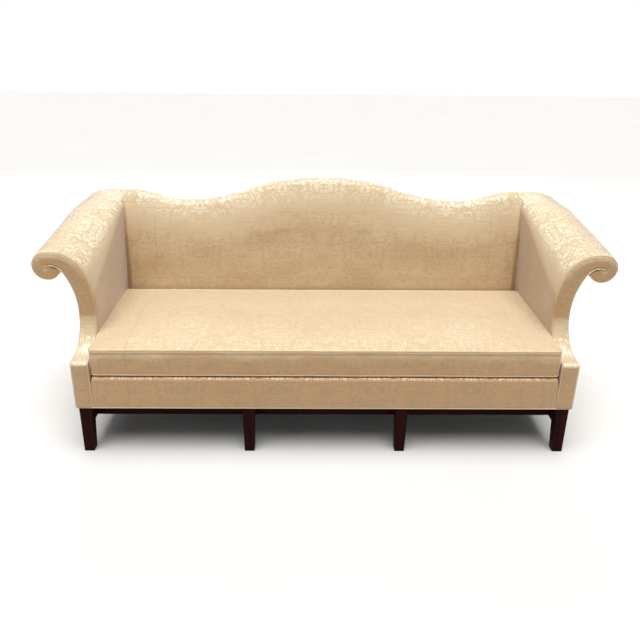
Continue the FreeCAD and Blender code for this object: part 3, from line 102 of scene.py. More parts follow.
# The cloth: the feet of the covers, clearances, thickness and the seams between its widths
COVER_BASE = 0.1919
ARM_COVER_BASE = 0.283
BACK_COVER_BASE = 0.2877
GAP = 0.0003
COVER_HALF = HALF_SEAT - GAP
ARM_FRONT_GAP = 0.0048
CLOTH = 0.003
DUST_CLOTH = 0.0008
SEAM = 0.700
REPEAT_WIDTH, REPEAT_HEIGHT = 0.343, 0.56
RIB_PITCH = 0.0016

# Where the figure starts on the border and the cushion's band, its top and the outer arms
FRONT_FIGURE = 0.205
TOP_FIGURE = 0.11
OUTER_ARM_FIGURE = 0.07

# The very rear of the arms' tops is drawn lower than in the frame, above a height
REAR_DROP = 0.024
DROP_LENGTH = 0.22
DROP_FROM, DROP_RAMP = 0.68, 0.10

# The arm's outline at its two ends
OUTLINES = {
    "front": {
        "flare_start": 0.530, "flare": 0.300, "flare_turn": 22.1, "top": 0.127,
        "top_turn": 102.3, "scroll": 0.052, "neck": 0.500,
    },
    "rear": {
        "flare_start": 0.784, "flare": 0.028, "flare_turn": 76.0, "top": 0.215,
        "top_turn": 107.0, "scroll": 0.057, "neck": 0.600,
    },
}
NECK_CURVE = 0.280

# The camera that was fitted to the photograph, in its pixels, metres and degrees
PICTURE = 640
FOCAL = 675.40
VIEW_CENTRE = (313.71, 295.80)
CAMERA_PLACE = (-0.081, -2.085 + FRONT, 1.490)
CAMERA_PITCH, CAMERA_YAW, CAMERA_ROLL = 22.5, 0.94, 0.66


# Lines and arcs. A path is a list of pieces: two spots for a line, three for an arc.
def turned(centre, radius, degrees):
    """Spot on a circle; 0 degrees is its seat side, 90 its top, 180 its outer side."""
    angle = math.radians(degrees)
    return (centre[0] - radius * math.cos(angle), centre[1] + radius * math.sin(angle))


def arc(centre, radius, first, last):
    """Arc of a circle between two turns, as its start, middle and end."""
    return tuple(turned(centre, radius, turn) for turn in (first, (first + last) / 2, last))


def between(a, b, share):
    """Spot at a share of the way from one spot to another."""
    return (a[0] + (b[0] - a[0]) * share, a[1] + (b[1] - a[1]) * share)


def circle_of(a, b, c):
    """Centre and radius of the circle through three spots."""
    ax, ay, bx, by, cx, cy = *a, *b, *c
    d = 2 * (ax * (by - cy) + bx * (cy - ay) + cx * (ay - by))
    first, second, third = ax * ax + ay * ay, bx * bx + by * by, cx * cx + cy * cy
    centre = (
        (first * (by - cy) + second * (cy - ay) + third * (ay - by)) / d,
        (first * (cx - bx) + second * (ax - cx) + third * (bx - ax)) / d,
    )
    return centre, math.dist(centre, a)


def spot_on(piece, share):
    """Spot on a line or an arc at a share of its length."""
    if len(piece) == 2:
        return between(*piece, share)
    centre, radius = circle_of(*piece)
    angles = [math.atan2(spot[1] - centre[1], spot[0] - centre[0]) for spot in piece]
    sweep = (angles[2] - angles[0]) % (2 * math.pi)
    if (angles[1] - angles[0]) % (2 * math.pi) > sweep:
        sweep -= 2 * math.pi
    angle = angles[0] + sweep * share
    return (centre[0] + radius * math.cos(angle), centre[1] + radius * math.sin(angle))


def sampled(path, counts):
    """Spots along a path, with a number of steps on each of its pieces."""
    spots = [tuple(path[0][0])]
    for piece, count in zip(path, counts):
        spots += [spot_on(piece, step / count) for step in range(1, count + 1)]
    return spots


def reverse(path):
    """The same path from its end to its start."""
    return [tuple(piece[::-1]) for piece in path[::-1]]


def lengths_along(spots):
    """Distance from the first spot to each spot."""
    total, result = 0, [0]
    for a, b in zip(spots, spots[1:]):
        total += math.dist(a, b)
        result.append(total)
    return result


# The arm's outline, as (distance outwards from its seat side, height)
def arm_outline(end):
    """Circles of the outline at the front or the rear."""
    sizes = OUTLINES[end]
    flare, turn = sizes["flare"], sizes["flare_turn"]
    first = (flare, sizes["flare_start"])
    second = turned(turned(first, flare, turn), -sizes["top"], turn)
    meeting = turned(second, sizes["top"], sizes["top_turn"])
    third = turned(meeting, -sizes["scroll"], sizes["top_turn"])
    hollow = (ARM_WIDTH + NECK_CURVE, sizes["neck"])
    gap = math.dist(third, hollow)
    along = (NECK_CURVE**2 - sizes["scroll"] ** 2 + gap**2) / (2 * gap)
    off = math.sqrt(NECK_CURVE**2 - along**2)
    way = ((third[0] - hollow[0]) / gap, (third[1] - hollow[1]) / gap)
    foot = (hollow[0] + along * way[0], hollow[1] + along * way[1])
    spots = [(foot[0] - k * off * way[1], foot[1] + k * off * way[0]) for k in (1, -1)]
    throat = min(spots, key=lambda spot: spot[1])
    end_turn = math.degrees(math.atan2(throat[1] - third[1], third[0] - throat[0])) % 360
    neck_turn = math.degrees(math.atan2(throat[1] - hollow[1], hollow[0] - throat[0]))
    half_turn = (sizes["top_turn"] + end_turn) / 2
    return {
        "arcs": [
            (first, flare, 0, turn),
            (second, sizes["top"], turn, sizes["top_turn"]),
            (third, sizes["scroll"], sizes["top_turn"], half_turn),
            (third, sizes["scroll"], half_turn, end_turn),
        ],
        "throat": throat,
        "end_turn": end_turn,
        "hollow": (hollow, NECK_CURVE, neck_turn),
    }


CIRCLES = {end: arm_outline(end) for end in OUTLINES}


def roll_path(end, inset, base):
    """Seat side of the arm from a height up and round the roll to the throat."""
    arcs = CIRCLES[end]["arcs"]
    path = [((inset, base), (inset, arcs[0][0][1]))]
    return path + [arc(centre, radius - inset, *turns) for centre, radius, *turns in arcs]


def side_path(end, inset, base):
    """Outside of the arm from the throat down to a height."""
    centre, radius, neck_turn = CIRCLES[end]["hollow"]
    neck = arc(centre, radius + inset, neck_turn, 0)
    return [neck, (neck[-1], (ARM_WIDTH - inset, base))]


def throat_path(end, inset):
    """Round the throat, at an inset from the outline."""
    start, neck_turn = CIRCLES[end]["end_turn"] + 180, CIRCLES[end]["hollow"][2]
    return [arc(CIRCLES[end]["throat"], inset, start, start - (start - neck_turn) % 360)]


def arm_front(z, offset):
    """Depth of the arm's front face at a height, at an offset behind it."""
    if z >= ARM_BEND:
        return ARM_SET_BACK + offset
    if offset < ARM_CORNER and z < SHELF - ARM_CORNER:
        return offset
    if offset < ARM_CORNER and z < SHELF - offset:
        up = z - SHELF + ARM_CORNER
        return ARM_CORNER - math.sqrt(max((ARM_CORNER - offset) ** 2 - up**2, 0))
    down, reach = ARM_BEND - z, ARM_SWEEP + offset
    return max(SWEEP_CENTRE + math.sqrt(max(reach**2 - down**2, 0)), offset)


def outside_back(z, depth=0.0):
    """Depth of the outside back at a height, or of a plane in from it."""
    return BASE_DEPTH + (z - SEAT_FRAME) * math.tan(RAKE) - depth / math.cos(RAKE)


def crest_at(x):
    """Height of the crest at a distance from the middle."""
    x = min(abs(x), HALF_SEAT)
    hump, shoulder, outer = CREST - DIP, CREST_END - DIP, HALF_SEAT - DIP_PLACE
    slope = (DIP_PLACE**2 + hump**2) / (2 * hump)
    rise = (outer**2 + shoulder**2) / (2 * shoulder)
    turn_in, turn_out = HUMP_PART * DIP_PLACE, DIP_PLACE + OUTER_DIP_PART * outer
    if x < turn_in:
        radius = HUMP_PART * slope
        return CREST - radius + math.sqrt(radius**2 - x**2)
    if x < turn_out:
        radius = INNER_DIP_PART * slope if x < DIP_PLACE else OUTER_DIP_PART * rise
        return DIP + radius - math.sqrt(radius**2 - (x - DIP_PLACE) ** 2)
    radius = SHOULDER_PART * rise
    return CREST_END - radius + math.sqrt(radius**2 - (x - HALF_SEAT) ** 2)


def back_path(x):
    """Front to back section of the back: inside, bow and roll, as (y, z)."""
    up, back = (math.sin(RAKE), math.cos(RAKE)), (math.cos(RAKE), -math.sin(RAKE))
    roll_z = crest_at(x) - CREST_ROLL
    roll_centre = (outside_back(roll_z, CREST_ROLL), roll_z)
    start = (outside_back(BACK_COVER_BASE, BACK_THICKNESS), BACK_COVER_BASE)
    way = (roll_centre[0] - start[0], roll_centre[1] - start[1])
    along, across = way[0] * up[0] + way[1] * up[1], way[0] * back[0] + way[1] * back[1]
    run = along - math.sqrt((BACK_BOW - CREST_ROLL) ** 2 - (BACK_BOW - across) ** 2)
    bow = tuple(start[i] + up[i] * run + back[i] * BACK_BOW for i in range(2))
    toward = math.degrees(math.atan2(roll_z - bow[1], bow[0] - roll_centre[0]))
    bend = arc(bow, BACK_BOW, math.degrees(RAKE), toward)
    roll = arc(roll_centre, CREST_ROLL, toward, 180 + math.degrees(RAKE))
    return [(start, bend[0]), bend, roll]


# Shares and noise
def ramp(value, start, length):
    """0 up to the start, then rising straight to 1 over a length."""
    return min(max((value - start) / length, 0), 1)


def rise_and_fall(distance, reach):
    """1 at a distance of 0, falling smoothly to 0 at the reach."""
    share = ramp(distance, 0, reach)
    return (1 - share) ** 2 * (1 + 2 * share)


def rounded(share):
    """Height of a quarter circle of radius 1 at a share of its width."""
    return math.sqrt(max(1 - (1 - share) ** 2, 0))


def spread(steps, gather):
    """Shares from 0 to 1, gathered towards both ends."""
    shares = [step / steps for step in range(steps + 1)]
    return [(1 - gather) * s + gather * (0.5 - 0.5 * math.cos(math.pi * s)) for s in shares]


def wander(spot, scale):
    """Smooth noise from -1 to 1 over a length."""
    return noise.noise(Vector(spot) / scale)


def puckers(run, distance, depth):
    """Little gathers along a sewn edge: run is the way along it, distance the way from it."""
    return depth * math.exp(-distance / 0.010) * wander((run, 0.4, 0.7), 0.011)


def place(x, y, z):
    """Spot in the row frame from x, the depth behind the border's front and the height."""
    return Vector((x, y + FRONT, z))


# Meshes
def shade(mesh, smooth):
    """Smooth or flat shading on all faces."""
    mesh.polygons.foreach_set("use_smooth", [smooth] * len(mesh.polygons))


def new_object(name, bm):
    """Object at the origin from a finished bmesh."""
    mesh = bpy.data.meshes.new(name)
    bm.to_mesh(mesh)
    bm.free()
    shade(mesh, True)
    made = bpy.data.objects.new(name, mesh)
    bpy.context.scene.collection.objects.link(made)
    return made


def joined(name, objects):
    """Several objects as one mesh."""
    bm = bmesh.new()
    for thing in objects:
        bm.from_mesh(thing.data)
        bpy.data.objects.remove(thing)
    return new_object(name, bm)


def thickened(piece, thickness=CLOTH):
    """Give cloth its thickness, inwards."""
    wall = piece.modifiers.new("thickness", "SOLIDIFY")
    wall.thickness = thickness
    wall.offset = -1.0
    return piece


def upholstered(name, rows, threads, outwards, swell):
    """Padded cover over rows of spots, with its thickness.

    At row i and spot j, threads gives (across, along) of the weave in metres and swell the
    way out. The outer side is the one that looks along outwards more than against it.
    """
    bm = bmesh.new()
    deep, wide = len(rows), len(rows[0])
    bmesh.ops.create_grid(bm, x_segments=wide - 1, y_segments=deep - 1, size=0.5)
    places = {vert: divmod(index, wide) for index, vert in enumerate(bm.verts)}
    for vert, (i, j) in places.items():
        vert.co = rows[i][j]
    weave = bm.loops.layers.uv.new("weave")
    for face in bm.faces:
        for loop in face.loops:
            loop[weave].uv = threads(*places[loop.vert])
    bm.normal_update()
    if sum(face.normal.dot(outwards) for face in bm.faces) < 0:
        bmesh.ops.reverse_faces(bm, faces=bm.faces[:])
    bm.normal_update()
    moves = [vert.normal * swell(*places[vert], vert.co) for vert in bm.verts]
    for vert, move in zip(bm.verts, moves):
        vert.co += move
    bmesh.ops.remove_doubles(bm, verts=bm.verts[:], dist=1e-6)
    return thickened(new_object(name, bm))


def clothe(piece, finish):
    """Give a piece one material only."""
    piece.data.materials.clear()
    piece.data.materials.append(finish_named(finish))


def dress(piece, finish, slot, body, *nodes):
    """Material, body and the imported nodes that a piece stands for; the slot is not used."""
    clothe(piece, finish)
    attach(piece, body)
    if nodes:
        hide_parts(*nodes)


def tube(name, spots, closed=False, sides=12, radius=WELT_RADIUS):
    """Round cord through spots, with its weave measured along and round it."""
    bm = bmesh.new()
    count = len(spots)
    ways = []
    for index in range(count):
        before = spots[index - 1] if closed or index else spots[0]
        after = spots[(index + 1) % count] if closed or index < count - 1 else spots[-1]
        ways.append((after - before).normalized())
    side = ways[0].orthogonal().normalized()
    ring = bmesh.ops.create_circle(bm, segments=sides, radius=radius)["verts"]
    rings = []
    for index in range(count):
        side = (side - ways[index] * side.dot(ways[index])).normalized()
        other = ways[index].cross(side)
        if index:
            edges = list({edge for vert in ring for edge in vert.link_edges
                          if edge.other_vert(vert) in ring})
            grown = bmesh.ops.extrude_edge_only(bm, edges=edges)["geom"]
            fresh = {vert for vert in grown if isinstance(vert, bmesh.types.BMVert)}
            follow = {}
            for vert in fresh:
                for edge in vert.link_edges:
                    if edge.other_vert(vert) in ring:
                        follow[edge.other_vert(vert)] = vert
            ring = [follow[vert] for vert in ring]
        for step, vert in enumerate(ring):
            angle = 2 * math.pi * step / sides
            vert.co = spots[index] + (side * math.cos(angle) + other * math.sin(angle)) * radius
        rings.append(ring)
    if closed:
        edges = [bm.edges.get((ring[step - 1], ring[step])) for ring in (rings[0], rings[-1])
                 for step in range(sides)]
        bmesh.ops.bridge_loops(bm, edges=edges)
    else:
        for ring in (rings[0], rings[-1]):
            bmesh.ops.contextual_create(bm, geom=list(ring))
    bmesh.ops.recalc_face_normals(bm, faces=bm.faces[:])
    runs = lengths_along([tuple(spot) for spot in spots])
    where = {vert: (runs[i], j) for i, ring in enumerate(rings) for j, vert in enumerate(ring)}
    weave = bm.loops.layers.uv.new("weave")
    for face in bm.faces:
        turns = [where[loop.vert][1] for loop in face.loops]
        wraps = max(turns) - min(turns) > sides / 2
        for loop in face.loops:
            run, turn = where[loop.vert]
            if wraps and turn < sides / 2:
                turn += sides
            loop[weave].uv = (run, turn * 2 * math.pi * radius / sides)
    return new_object(name, bm)


# Finishes
class Term:
    """An output of a node tree that takes part in arithmetic."""

    def __init__(self, finish, source):
        self.finish = finish
        self.source = source

    def math(self, operation, *others):
        return self.finish.node("ShaderNodeMath", {"operation": operation}, [self, *others])

    def __add__(self, other):
        return self.math("ADD", other)

    def __sub__(self, other):
        return self.math("SUBTRACT", other)

    def __rsub__(self, other):
        return self.finish.node("ShaderNodeMath", {"operation": "SUBTRACT"}, [other, self])

    def __mul__(self, other):
        return self.math("MULTIPLY", other)

    def __truediv__(self, other):
        return self.math("DIVIDE", other)

    __radd__, __rmul__ = __add__, __mul__


class Finish:
    """A material that is built from expressions."""

    def __init__(self, name):
        self.material = bpy.data.materials.new(name)
        self.material.use_nodes = True
        self.tree = self.material.node_tree
        self.tree.nodes.clear()

    def node(self, kind, settings=None, inputs=(), output=0):
        """Any node: its settings first, then the values or links of its sockets."""
        made = self.tree.nodes.new(kind)
        for key, value in (settings or {}).items():
            if key == "stops":
                ramp = made.color_ramp
                while len(ramp.elements) < len(value):
                    ramp.elements.new(0.5)
                for element, (spot, colour) in zip(ramp.elements, value):
                    element.position = spot
                    element.color = colour
            else:
                setattr(made, key, value)
        pairs = inputs.items() if isinstance(inputs, dict) else enumerate(inputs)
        for key, value in pairs:
            if isinstance(value, Term):
                self.tree.links.new(value.source, made.inputs[key])
            else:
                made.inputs[key].default_value = value
        return Term(self, made.outputs[output]) if len(made.outputs) else None

    def parts(self, vector):
        """The three numbers of a vector."""
        split = self.node("ShaderNodeSeparateXYZ", {}, [vector]).source.node
        return [Term(self, split.outputs[index]) for index in range(3)]

    def slope(self, value, low, high):
        """0 below low, 1 above high, smooth between."""
        return self.node(
            "ShaderNodeMapRange",
            {"interpolation_type": "SMOOTHSTEP", "clamp": True},
            {"Value": value, "From Min": low, "From Max": high, "To Min": 0.0, "To Max": 1.0},
        )

    def spot(self):
        """The object's own coordinates."""
        return self.node("ShaderNodeTexCoord", {}, output=3)

    def noise(self, vector, scale, detail=2.0, rough=0.5, output=0):
        return self.node(
            "ShaderNodeTexNoise", {},
            {"Vector": vector, "Scale": scale, "Detail": detail, "Roughness": rough}, output,
        )

    def mix(self, share, first, second, way="MIX"):
        """Colour between two colours."""
        return self.node(
            "ShaderNodeMix", {"data_type": "RGBA", "blend_type": way},
            {0: share, 6: first, 7: second}, 2,
        )

    def tinted(self, share, colour, tint):
        """The colour, multiplied by a tint where the share is 1."""
        return self.mix(share, colour, self.mix(1.0, colour, (*tint, 1), "MULTIPLY"))

    def shaded(self, colour, rough, bump=None, height=0.001, **fixed):
        """The surface, with constants on the shader's own sockets."""
        inputs = {"Base Color": colour, "Roughness": rough}
        if bump is not None:
            inputs["Normal"] = self.node(
                "ShaderNodeBump", {}, {"Strength": 1.0, "Distance": height, "Height": bump},
            )
        for key, value in fixed.items():
            inputs[key.replace("_", " ").title().replace("Ior", "IOR")] = value
        surface = self.node("ShaderNodeBsdfPrincipled", {}, inputs)
        self.node("ShaderNodeOutputMaterial", {}, {"Surface": surface})
        return self.material


def damask_figure(f, u, v):
    """The woven figure, 1 where the satin shows: a mirrored, half-dropped foliage pattern."""
    half, ring = REPEAT_WIDTH / 2, REPEAT_HEIGHT / (2 * math.pi)
    x = u.math("PINGPONG", half)
    turn = v * (2 * math.pi / REPEAT_HEIGHT)
    stem = petals = leaves = None
    for across, way_round, along in (
        (x, turn, v), (half - x, turn + math.pi, v + REPEAT_HEIGHT / 2),
    ):
        height = along.math("WRAP", REPEAT_HEIGHT / 2, -REPEAT_HEIGHT / 2)
        spot = f.node(
            "ShaderNodeCombineXYZ", {},
            [across, way_round.math("COSINE") * ring, way_round.math("SINE") * ring],
        )
        warp = f.noise(spot, 22.0, 1.0, output=1)
        warp = f.node("ShaderNodeVectorMath", {"operation": "SUBTRACT"}, [warp, (0.5, 0.5, 0.5)])
        bent = f.node(
            "ShaderNodeVectorMath", {"operation": "MULTIPLY_ADD"}, [warp, (0.05,) * 3, spot],
        )
        edge = f.node(
            "ShaderNodeTexVoronoi", {"feature": "DISTANCE_TO_EDGE"},
            {"Vector": bent, "Scale": 34.0},
        )
        leaf = f.noise(bent, 26.0, 1.5)
        reach = (across * across + height * height * 0.45).math("SQRT")
        lobes = (across.math("ARCTAN2", height) * 5.0).math("SINE").math("ABSOLUTE")
        heart = (0.085 + lobes * 0.016 - reach) / 0.04
        stem = heart if stem is None else stem.math("MAXIMUM", heart)
        petals = edge if petals is None else petals.math("MINIMUM", edge)
        leaves = leaf if leaves is None else leaves + leaf
    centre = REPEAT_WIDTH / 4 * (turn.math("COSINE") * 0.82 + 1)
    scallops = (v * 75.0).math("SINE").math("ABSOLUTE")
    ribbon = (0.010 + scallops * 0.010 - (x - centre).math("ABSOLUTE")) / 0.012
    field = stem.math("MAXIMUM", ribbon) + (leaves - 1.0) * 3.2
    body = f.slope(field, -0.05, 0.15)
    gaps = f.slope(petals, 0.035, 0.075)
    outline = 1 - f.slope((field + 0.75).math("ABSOLUTE"), 0.10, 0.20)
    return (body * gaps).math("MAXIMUM", outline)


def damask_finish(name, ground, pale, figure, gleam, seams=True, figured=True):
    """Damask: ribbed matt ground, smooth satin figure, faint seams between widths of cloth, and
    painted light where the cloth turns upwards.
    """
    f = Finish(name)
    u, v = f.parts(f.node("ShaderNodeUVMap", {"uv_map": "weave"}))[:2]
    spot = f.spot()
    ribs = (v * (2 * math.pi / RIB_PITCH)).math("SINE")
    slubs = f.noise(f.node("ShaderNodeCombineXYZ", {}, [u * 11.0, v * 300.0, 0.0]), 1.0, 2.0)
    cloud = f.noise(spot, 5.0, 3.0)
    satin = damask_figure(f, u, v) if figured else f.slope(slubs, 0.6, 0.7) * 0.3
    # Painted light: the ground is painted paler and the satin figure gets a painted gleam where
    # the cloth turns upwards to the light from above; on level tops the figure fades out
    upturn = f.parts(f.node("ShaderNodeNewGeometry", {}, output=1))[2]
    painted_light_share = f.slope(upturn, 0.0, 0.19)
    painted_gleam_share = f.slope(upturn, 0.17, 0.60)
    level = f.slope(upturn, 0.955, 0.998)
    ribbed = f.mix(painted_light_share, ground, pale)
    shown = f.mix(painted_gleam_share, f.mix(painted_light_share * 0.72, figure, pale), gleam)
    colour = f.mix(satin * (1 - level * 0.72), ribbed, shown)
    colour = f.tinted(f.slope(slubs, 0.44, 0.60) * 0.34, colour, (0.80, 0.76, 0.70))
    colour = f.tinted(f.slope(cloud, 0.45, 0.8) * 0.6, colour, (0.93, 0.92, 0.88))
    height = ribs * 0.12 * (1 - satin) + satin * 0.25 + slubs * 0.35
    rough = 0.52 - satin * 0.20 + slubs * 0.10
    if seams:
        from_seam = (f.parts(spot)[0].math("ABSOLUTE") - SEAM).math("ABSOLUTE")
        groove = 1 - f.slope(from_seam, 0.0004, 0.0022)
        colour = f.tinted(groove * 0.35, colour, (0.6, 0.55, 0.5))
        height = height - groove * 1.2
    return f.shaded(
        colour, rough, height, 0.0003, coat_weight=satin * 0.60, coat_roughness=0.36,
        sheen_weight=0.75, sheen_roughness=0.42, specular_ior_level=0.6,
    )


def wood_finish(name, dark, light, rough, along="x"):
    """Wood with its grain along one axis of the object."""
    f = Finish(name)
    spot = f.spot()
    stretch = tuple(3.0 if axis == along else 60.0 for axis in "xyz")
    grain_place = f.node("ShaderNodeMapping", {}, {"Vector": spot, "Scale": stretch})
    grain = f.noise(grain_place, 1.0, 6.0, 0.6)
    pores = f.noise(grain_place, 6.0, 2.0)
    patches = f.noise(spot, 6.0, 2.0)
    colour = f.mix(f.slope(grain, 0.30, 0.72) * 0.75 + patches * 0.25, dark, light)
    bump = f.slope(pores, 0.35, 0.5) * 0.6 + grain * 0.4
    return f.shaded(colour, rough + patches * 0.12, bump, 0.00025, specular_ior_level=0.07)


def weave_finish(name, dark, light, pitch):
    """Plain woven cloth on the object's own coordinates."""
    f = Finish(name)
    spot = f.spot()
    x, y, z = f.parts(spot)
    warp = (x * (2 * math.pi / pitch)).math("SINE")
    weft = ((y + z) * (2 * math.pi / pitch)).math("SINE")
    checks = (warp * weft) * 0.5 + 0.5
    slubs = f.noise(spot, 90.0, 3.0)
    colour = f.mix(checks * 0.6 + slubs * 0.4, dark, light)
    return f.shaded(colour, 0.9, checks + slubs * 0.5, pitch * 0.3)


def metal_finish(name, colour):
    """Bare drawn steel with a little oxide."""
    f = Finish(name)
    spot = f.spot()
    dirt = f.slope(f.noise(spot, 60.0, 3.0), 0.45, 0.75)
    shown = f.mix(dirt, colour, tuple(c * 0.5 for c in colour[:3]) + (1,))
    return f.shaded(shown, 0.32 + dirt * 0.3, f.noise(spot, 700.0, 1.0), 0.0001, metallic=1.0)


# Colours and fullness that a user would change
def colour_value(name, description, *colour):
    return FloatVectorProperty(
        name=name, description=description, subtype="COLOR", size=4, min=0, max=1,
        default=(*colour, 1),
    )


def size_value(name, description, low, high, default):
    return FloatProperty(
        name=name, description=description, subtype="DISTANCE", unit="LENGTH", min=low, max=high,
        default=default,
    )


class SofaCloth(bpy.types.PropertyGroup):
    """Colours of the covers"""

    ground: colour_value(
        "Ground", "Colour of the ribbed ground where the cloth stands upright",
        0.505, 0.300, 0.125,
    )
    # Painted light: the ground colour painted paler where the cloth turns up towards the light
    pale: colour_value(
        "Pale ground", "Colour of that ground where the cloth turns upwards", 0.69, 0.53, 0.325,
    )
    figure: colour_value(
        "Figure", "Colour of the satin figure where the cloth stands upright", 0.395, 0.252, 0.118,
    )
    # Painted highlight: the satin figure's painted gleam where the cloth turns upwards
    gleam: colour_value(
        "Gleam", "Colour of the satin figure where the cloth turns upwards", 0.86, 0.76, 0.58,
    )
    piping: colour_value("Piping", "Colour of the piping", 0.62, 0.42, 0.21)


class SofaWood(bpy.types.PropertyGroup):
    """Colours of the legs"""

    dark: colour_value("Dark grain", "Darkest colour of the mahogany", 0.004, 0.0004, 0.0004)
    light: colour_value("Light grain", "Lightest colour of the mahogany", 0.030, 0.0014, 0.0014)


class SofaSizes(bpy.types.PropertyGroup):
    """Fullness of the padding"""

    crown: size_value(
        "Cushion crown", "Rise of the seat cushion above its upper seam", 0.005, 0.03, 0.021,
    )
    swell: size_value(
        "Panel swell", "How far padded panels stand out of the frame's lines", 0, 0.008, 0.003,
    )
    arris: size_value("Leg arris", "Rounding of the edges of the legs", 0.0002, 0.004, 0.0012)


# Each finish: its maker, its material's name and what else the maker takes. The name of a
# colour above stands for that colour.
RECIPES = {
    # The damask and piping finishes take the painted light colours too: the paler ground and the
    # gleam where the cloth turns upwards
    "damask": (damask_finish, "damask", "ground", "pale", "figure", "gleam"),
    "plain_damask": (damask_finish, "plain_damask", "ground", "pale", "figure", "gleam", False),
    "border_damask": (damask_finish, "border_damask", "ground", "ground", "figure", "pale"),
    "piping": (damask_finish, "piping_cloth", "piping", "pale", "figure", "gleam", False, False),
    "mahogany": (wood_finish, "mahogany", "dark", "light", 0.50, "z"),
    "mahogany_x": (wood_finish, "mahogany_rails", "dark", "light", 0.50, "x"),
    "mahogany_y": (wood_finish, "mahogany_bars", "dark", "light", 0.50, "y"),
    "frame_wood": (
        wood_finish, "frame_hardwood", (0.42, 0.27, 0.13, 1), (0.66, 0.47, 0.27, 1), 0.65,
    ),
    "steel": (metal_finish, "spring_steel", (0.42, 0.42, 0.43, 1)),
    "hessian": (
        weave_finish, "hessian_jute", (0.25, 0.17, 0.09, 1), (0.50, 0.37, 0.21, 1), 0.004,
    ),
    "webbing": (
        weave_finish, "webbing_jute", (0.22, 0.14, 0.07, 1), (0.44, 0.30, 0.16, 1), 0.005,
    ),
    "filling": (
        weave_finish, "filling_wadding", (0.72, 0.66, 0.50, 1), (0.85, 0.81, 0.68, 1), 0.012,
    ),
    "deck_cloth": (
        weave_finish, "deck_cotton", (0.52, 0.40, 0.24, 1), (0.66, 0.54, 0.35, 1), 0.0018,
    ),
    "dust_cloth": (
        weave_finish, "dust_cambric", (0.012, 0.012, 0.012, 1), (0.035, 0.035, 0.035, 1), 0.0015,
    ),
    "tape": (weave_finish, "closure_tape", (0.50, 0.38, 0.22, 1), (0.68, 0.54, 0.34, 1), 0.0012),
}
FINISHES = {}


def finish_named(name):
    """The scene's finishes, each made when it is first asked for."""
    if name not in FINISHES:
        maker, material, *rest = RECIPES[name]
        colours = {
            word: tuple(getattr(group, word))
            for group in (bpy.context.scene.sofa_cloth, bpy.context.scene.sofa_wood)
            for word in group.__annotations__
        }
        FINISHES[name] = maker(material, *(colours.get(item, item) for item in rest))
    return FINISHES[name]


# Covers
def across_seat(gather):
    """Distances from the middle of the cover's rows between the arms, gathered at both ends."""
    return [COVER_HALF * (2 * share - 1) for share in spread(260, gather)]


def closed_end(section, first, x):
    """Section of the back, drawn in towards the middle of its roll near the ends of the crest."""
    wide = rounded(ramp(COVER_HALF - abs(x), 0, 0.013))
    z = crest_at(x) - CREST_ROLL
    y = outside_back(z, CREST_ROLL)
    return section[:first] + [
        (y + (spot[0] - y) * wide, z + (spot[1] - z) * wide) for spot in section[first:]
    ]


def inside_back():
    """Cover of the back, from behind the cushion up and over the crest."""
    counts = (56, 20, 26)
    xs = across_seat(0.75)
    sections = [closed_end(sampled(back_path(x), counts), sum(counts[:2]), x) for x in xs]
    rows = [[place(x, *spot) for spot in section] for x, section in zip(xs, sections)]
    runs = [lengths_along(section) for section in sections]
    full = bpy.context.scene.sofa_sizes.swell

    def swell(i, j, spot):
        side = COVER_HALF - abs(xs[i])
        low = 1 - ramp(spot.z, 0.42, 0.30)
        tuck = -(0.006 + 0.009 * low) * rise_and_fall(side, 0.014 + 0.014 * low)
        tuck *= 1 - rise_and_fall(crest_at(xs[i]) - 0.035 - spot.z, 0.06)
        end = runs[i][-1] - runs[i][j]
        hem = -0.0015 * rise_and_fall(end, 0.006)
        body = full * (1 - rise_and_fall(side, 0.10)) * (1 - rise_and_fall(end, 0.10))
        soft = 0.0016 * wander((spot.x, spot.z * 1.4, 0.3), 0.16) * min(side / 0.06, 1)
        return tuck + hem + body * 0.6 + soft + puckers(spot.z, side, 0.0009) * (1 - low)

    return upholstered(
        "back_cover", rows, lambda i, j: (xs[i], runs[i][j]), Vector((0, -1, 0.35)), swell,
    )


def arm_rows(sign, path_of, counts):
    """Rows of spots along an arm: each row is the outline at one place along it."""
    front, rear = path_of("front"), path_of("rear")
    spots = []
    for piece, count in enumerate(counts):
        first = 0 if piece == 0 else 1
        spots += [(piece, step / count) for step in range(first, count + 1)]

    def outline_at(y, piece, share):
        part = (y - ARM_SET_BACK) / (ARM_REAR - ARM_SET_BACK)
        mixed = [between(a, b, part) for a, b in zip(front[piece], rear[piece])]
        return spot_on(mixed, share)

    rows = []
    for share in spread(96, 0.7):
        row = []
        for piece, step in spots:
            y, z = ARM_SET_BACK, front[piece][0][1]
            # The arm's ends lean, so the depth and the height settle in a few rounds
            for _ in range(4):
                u, z = outline_at(y, piece, step)
                start, stop = arm_front(z, ARM_FRONT_GAP), outside_back(z, GAP + CLOTH)
                y = start + (stop - start) * share
            near_back = rise_and_fall(outside_back(z, 0) - y, DROP_LENGTH)
            z -= REAR_DROP * near_back * ramp(z, DROP_FROM, DROP_RAMP)
            row.append(place(sign * (HALF_SEAT + u), y, z))
        rows.append(row)
    return rows


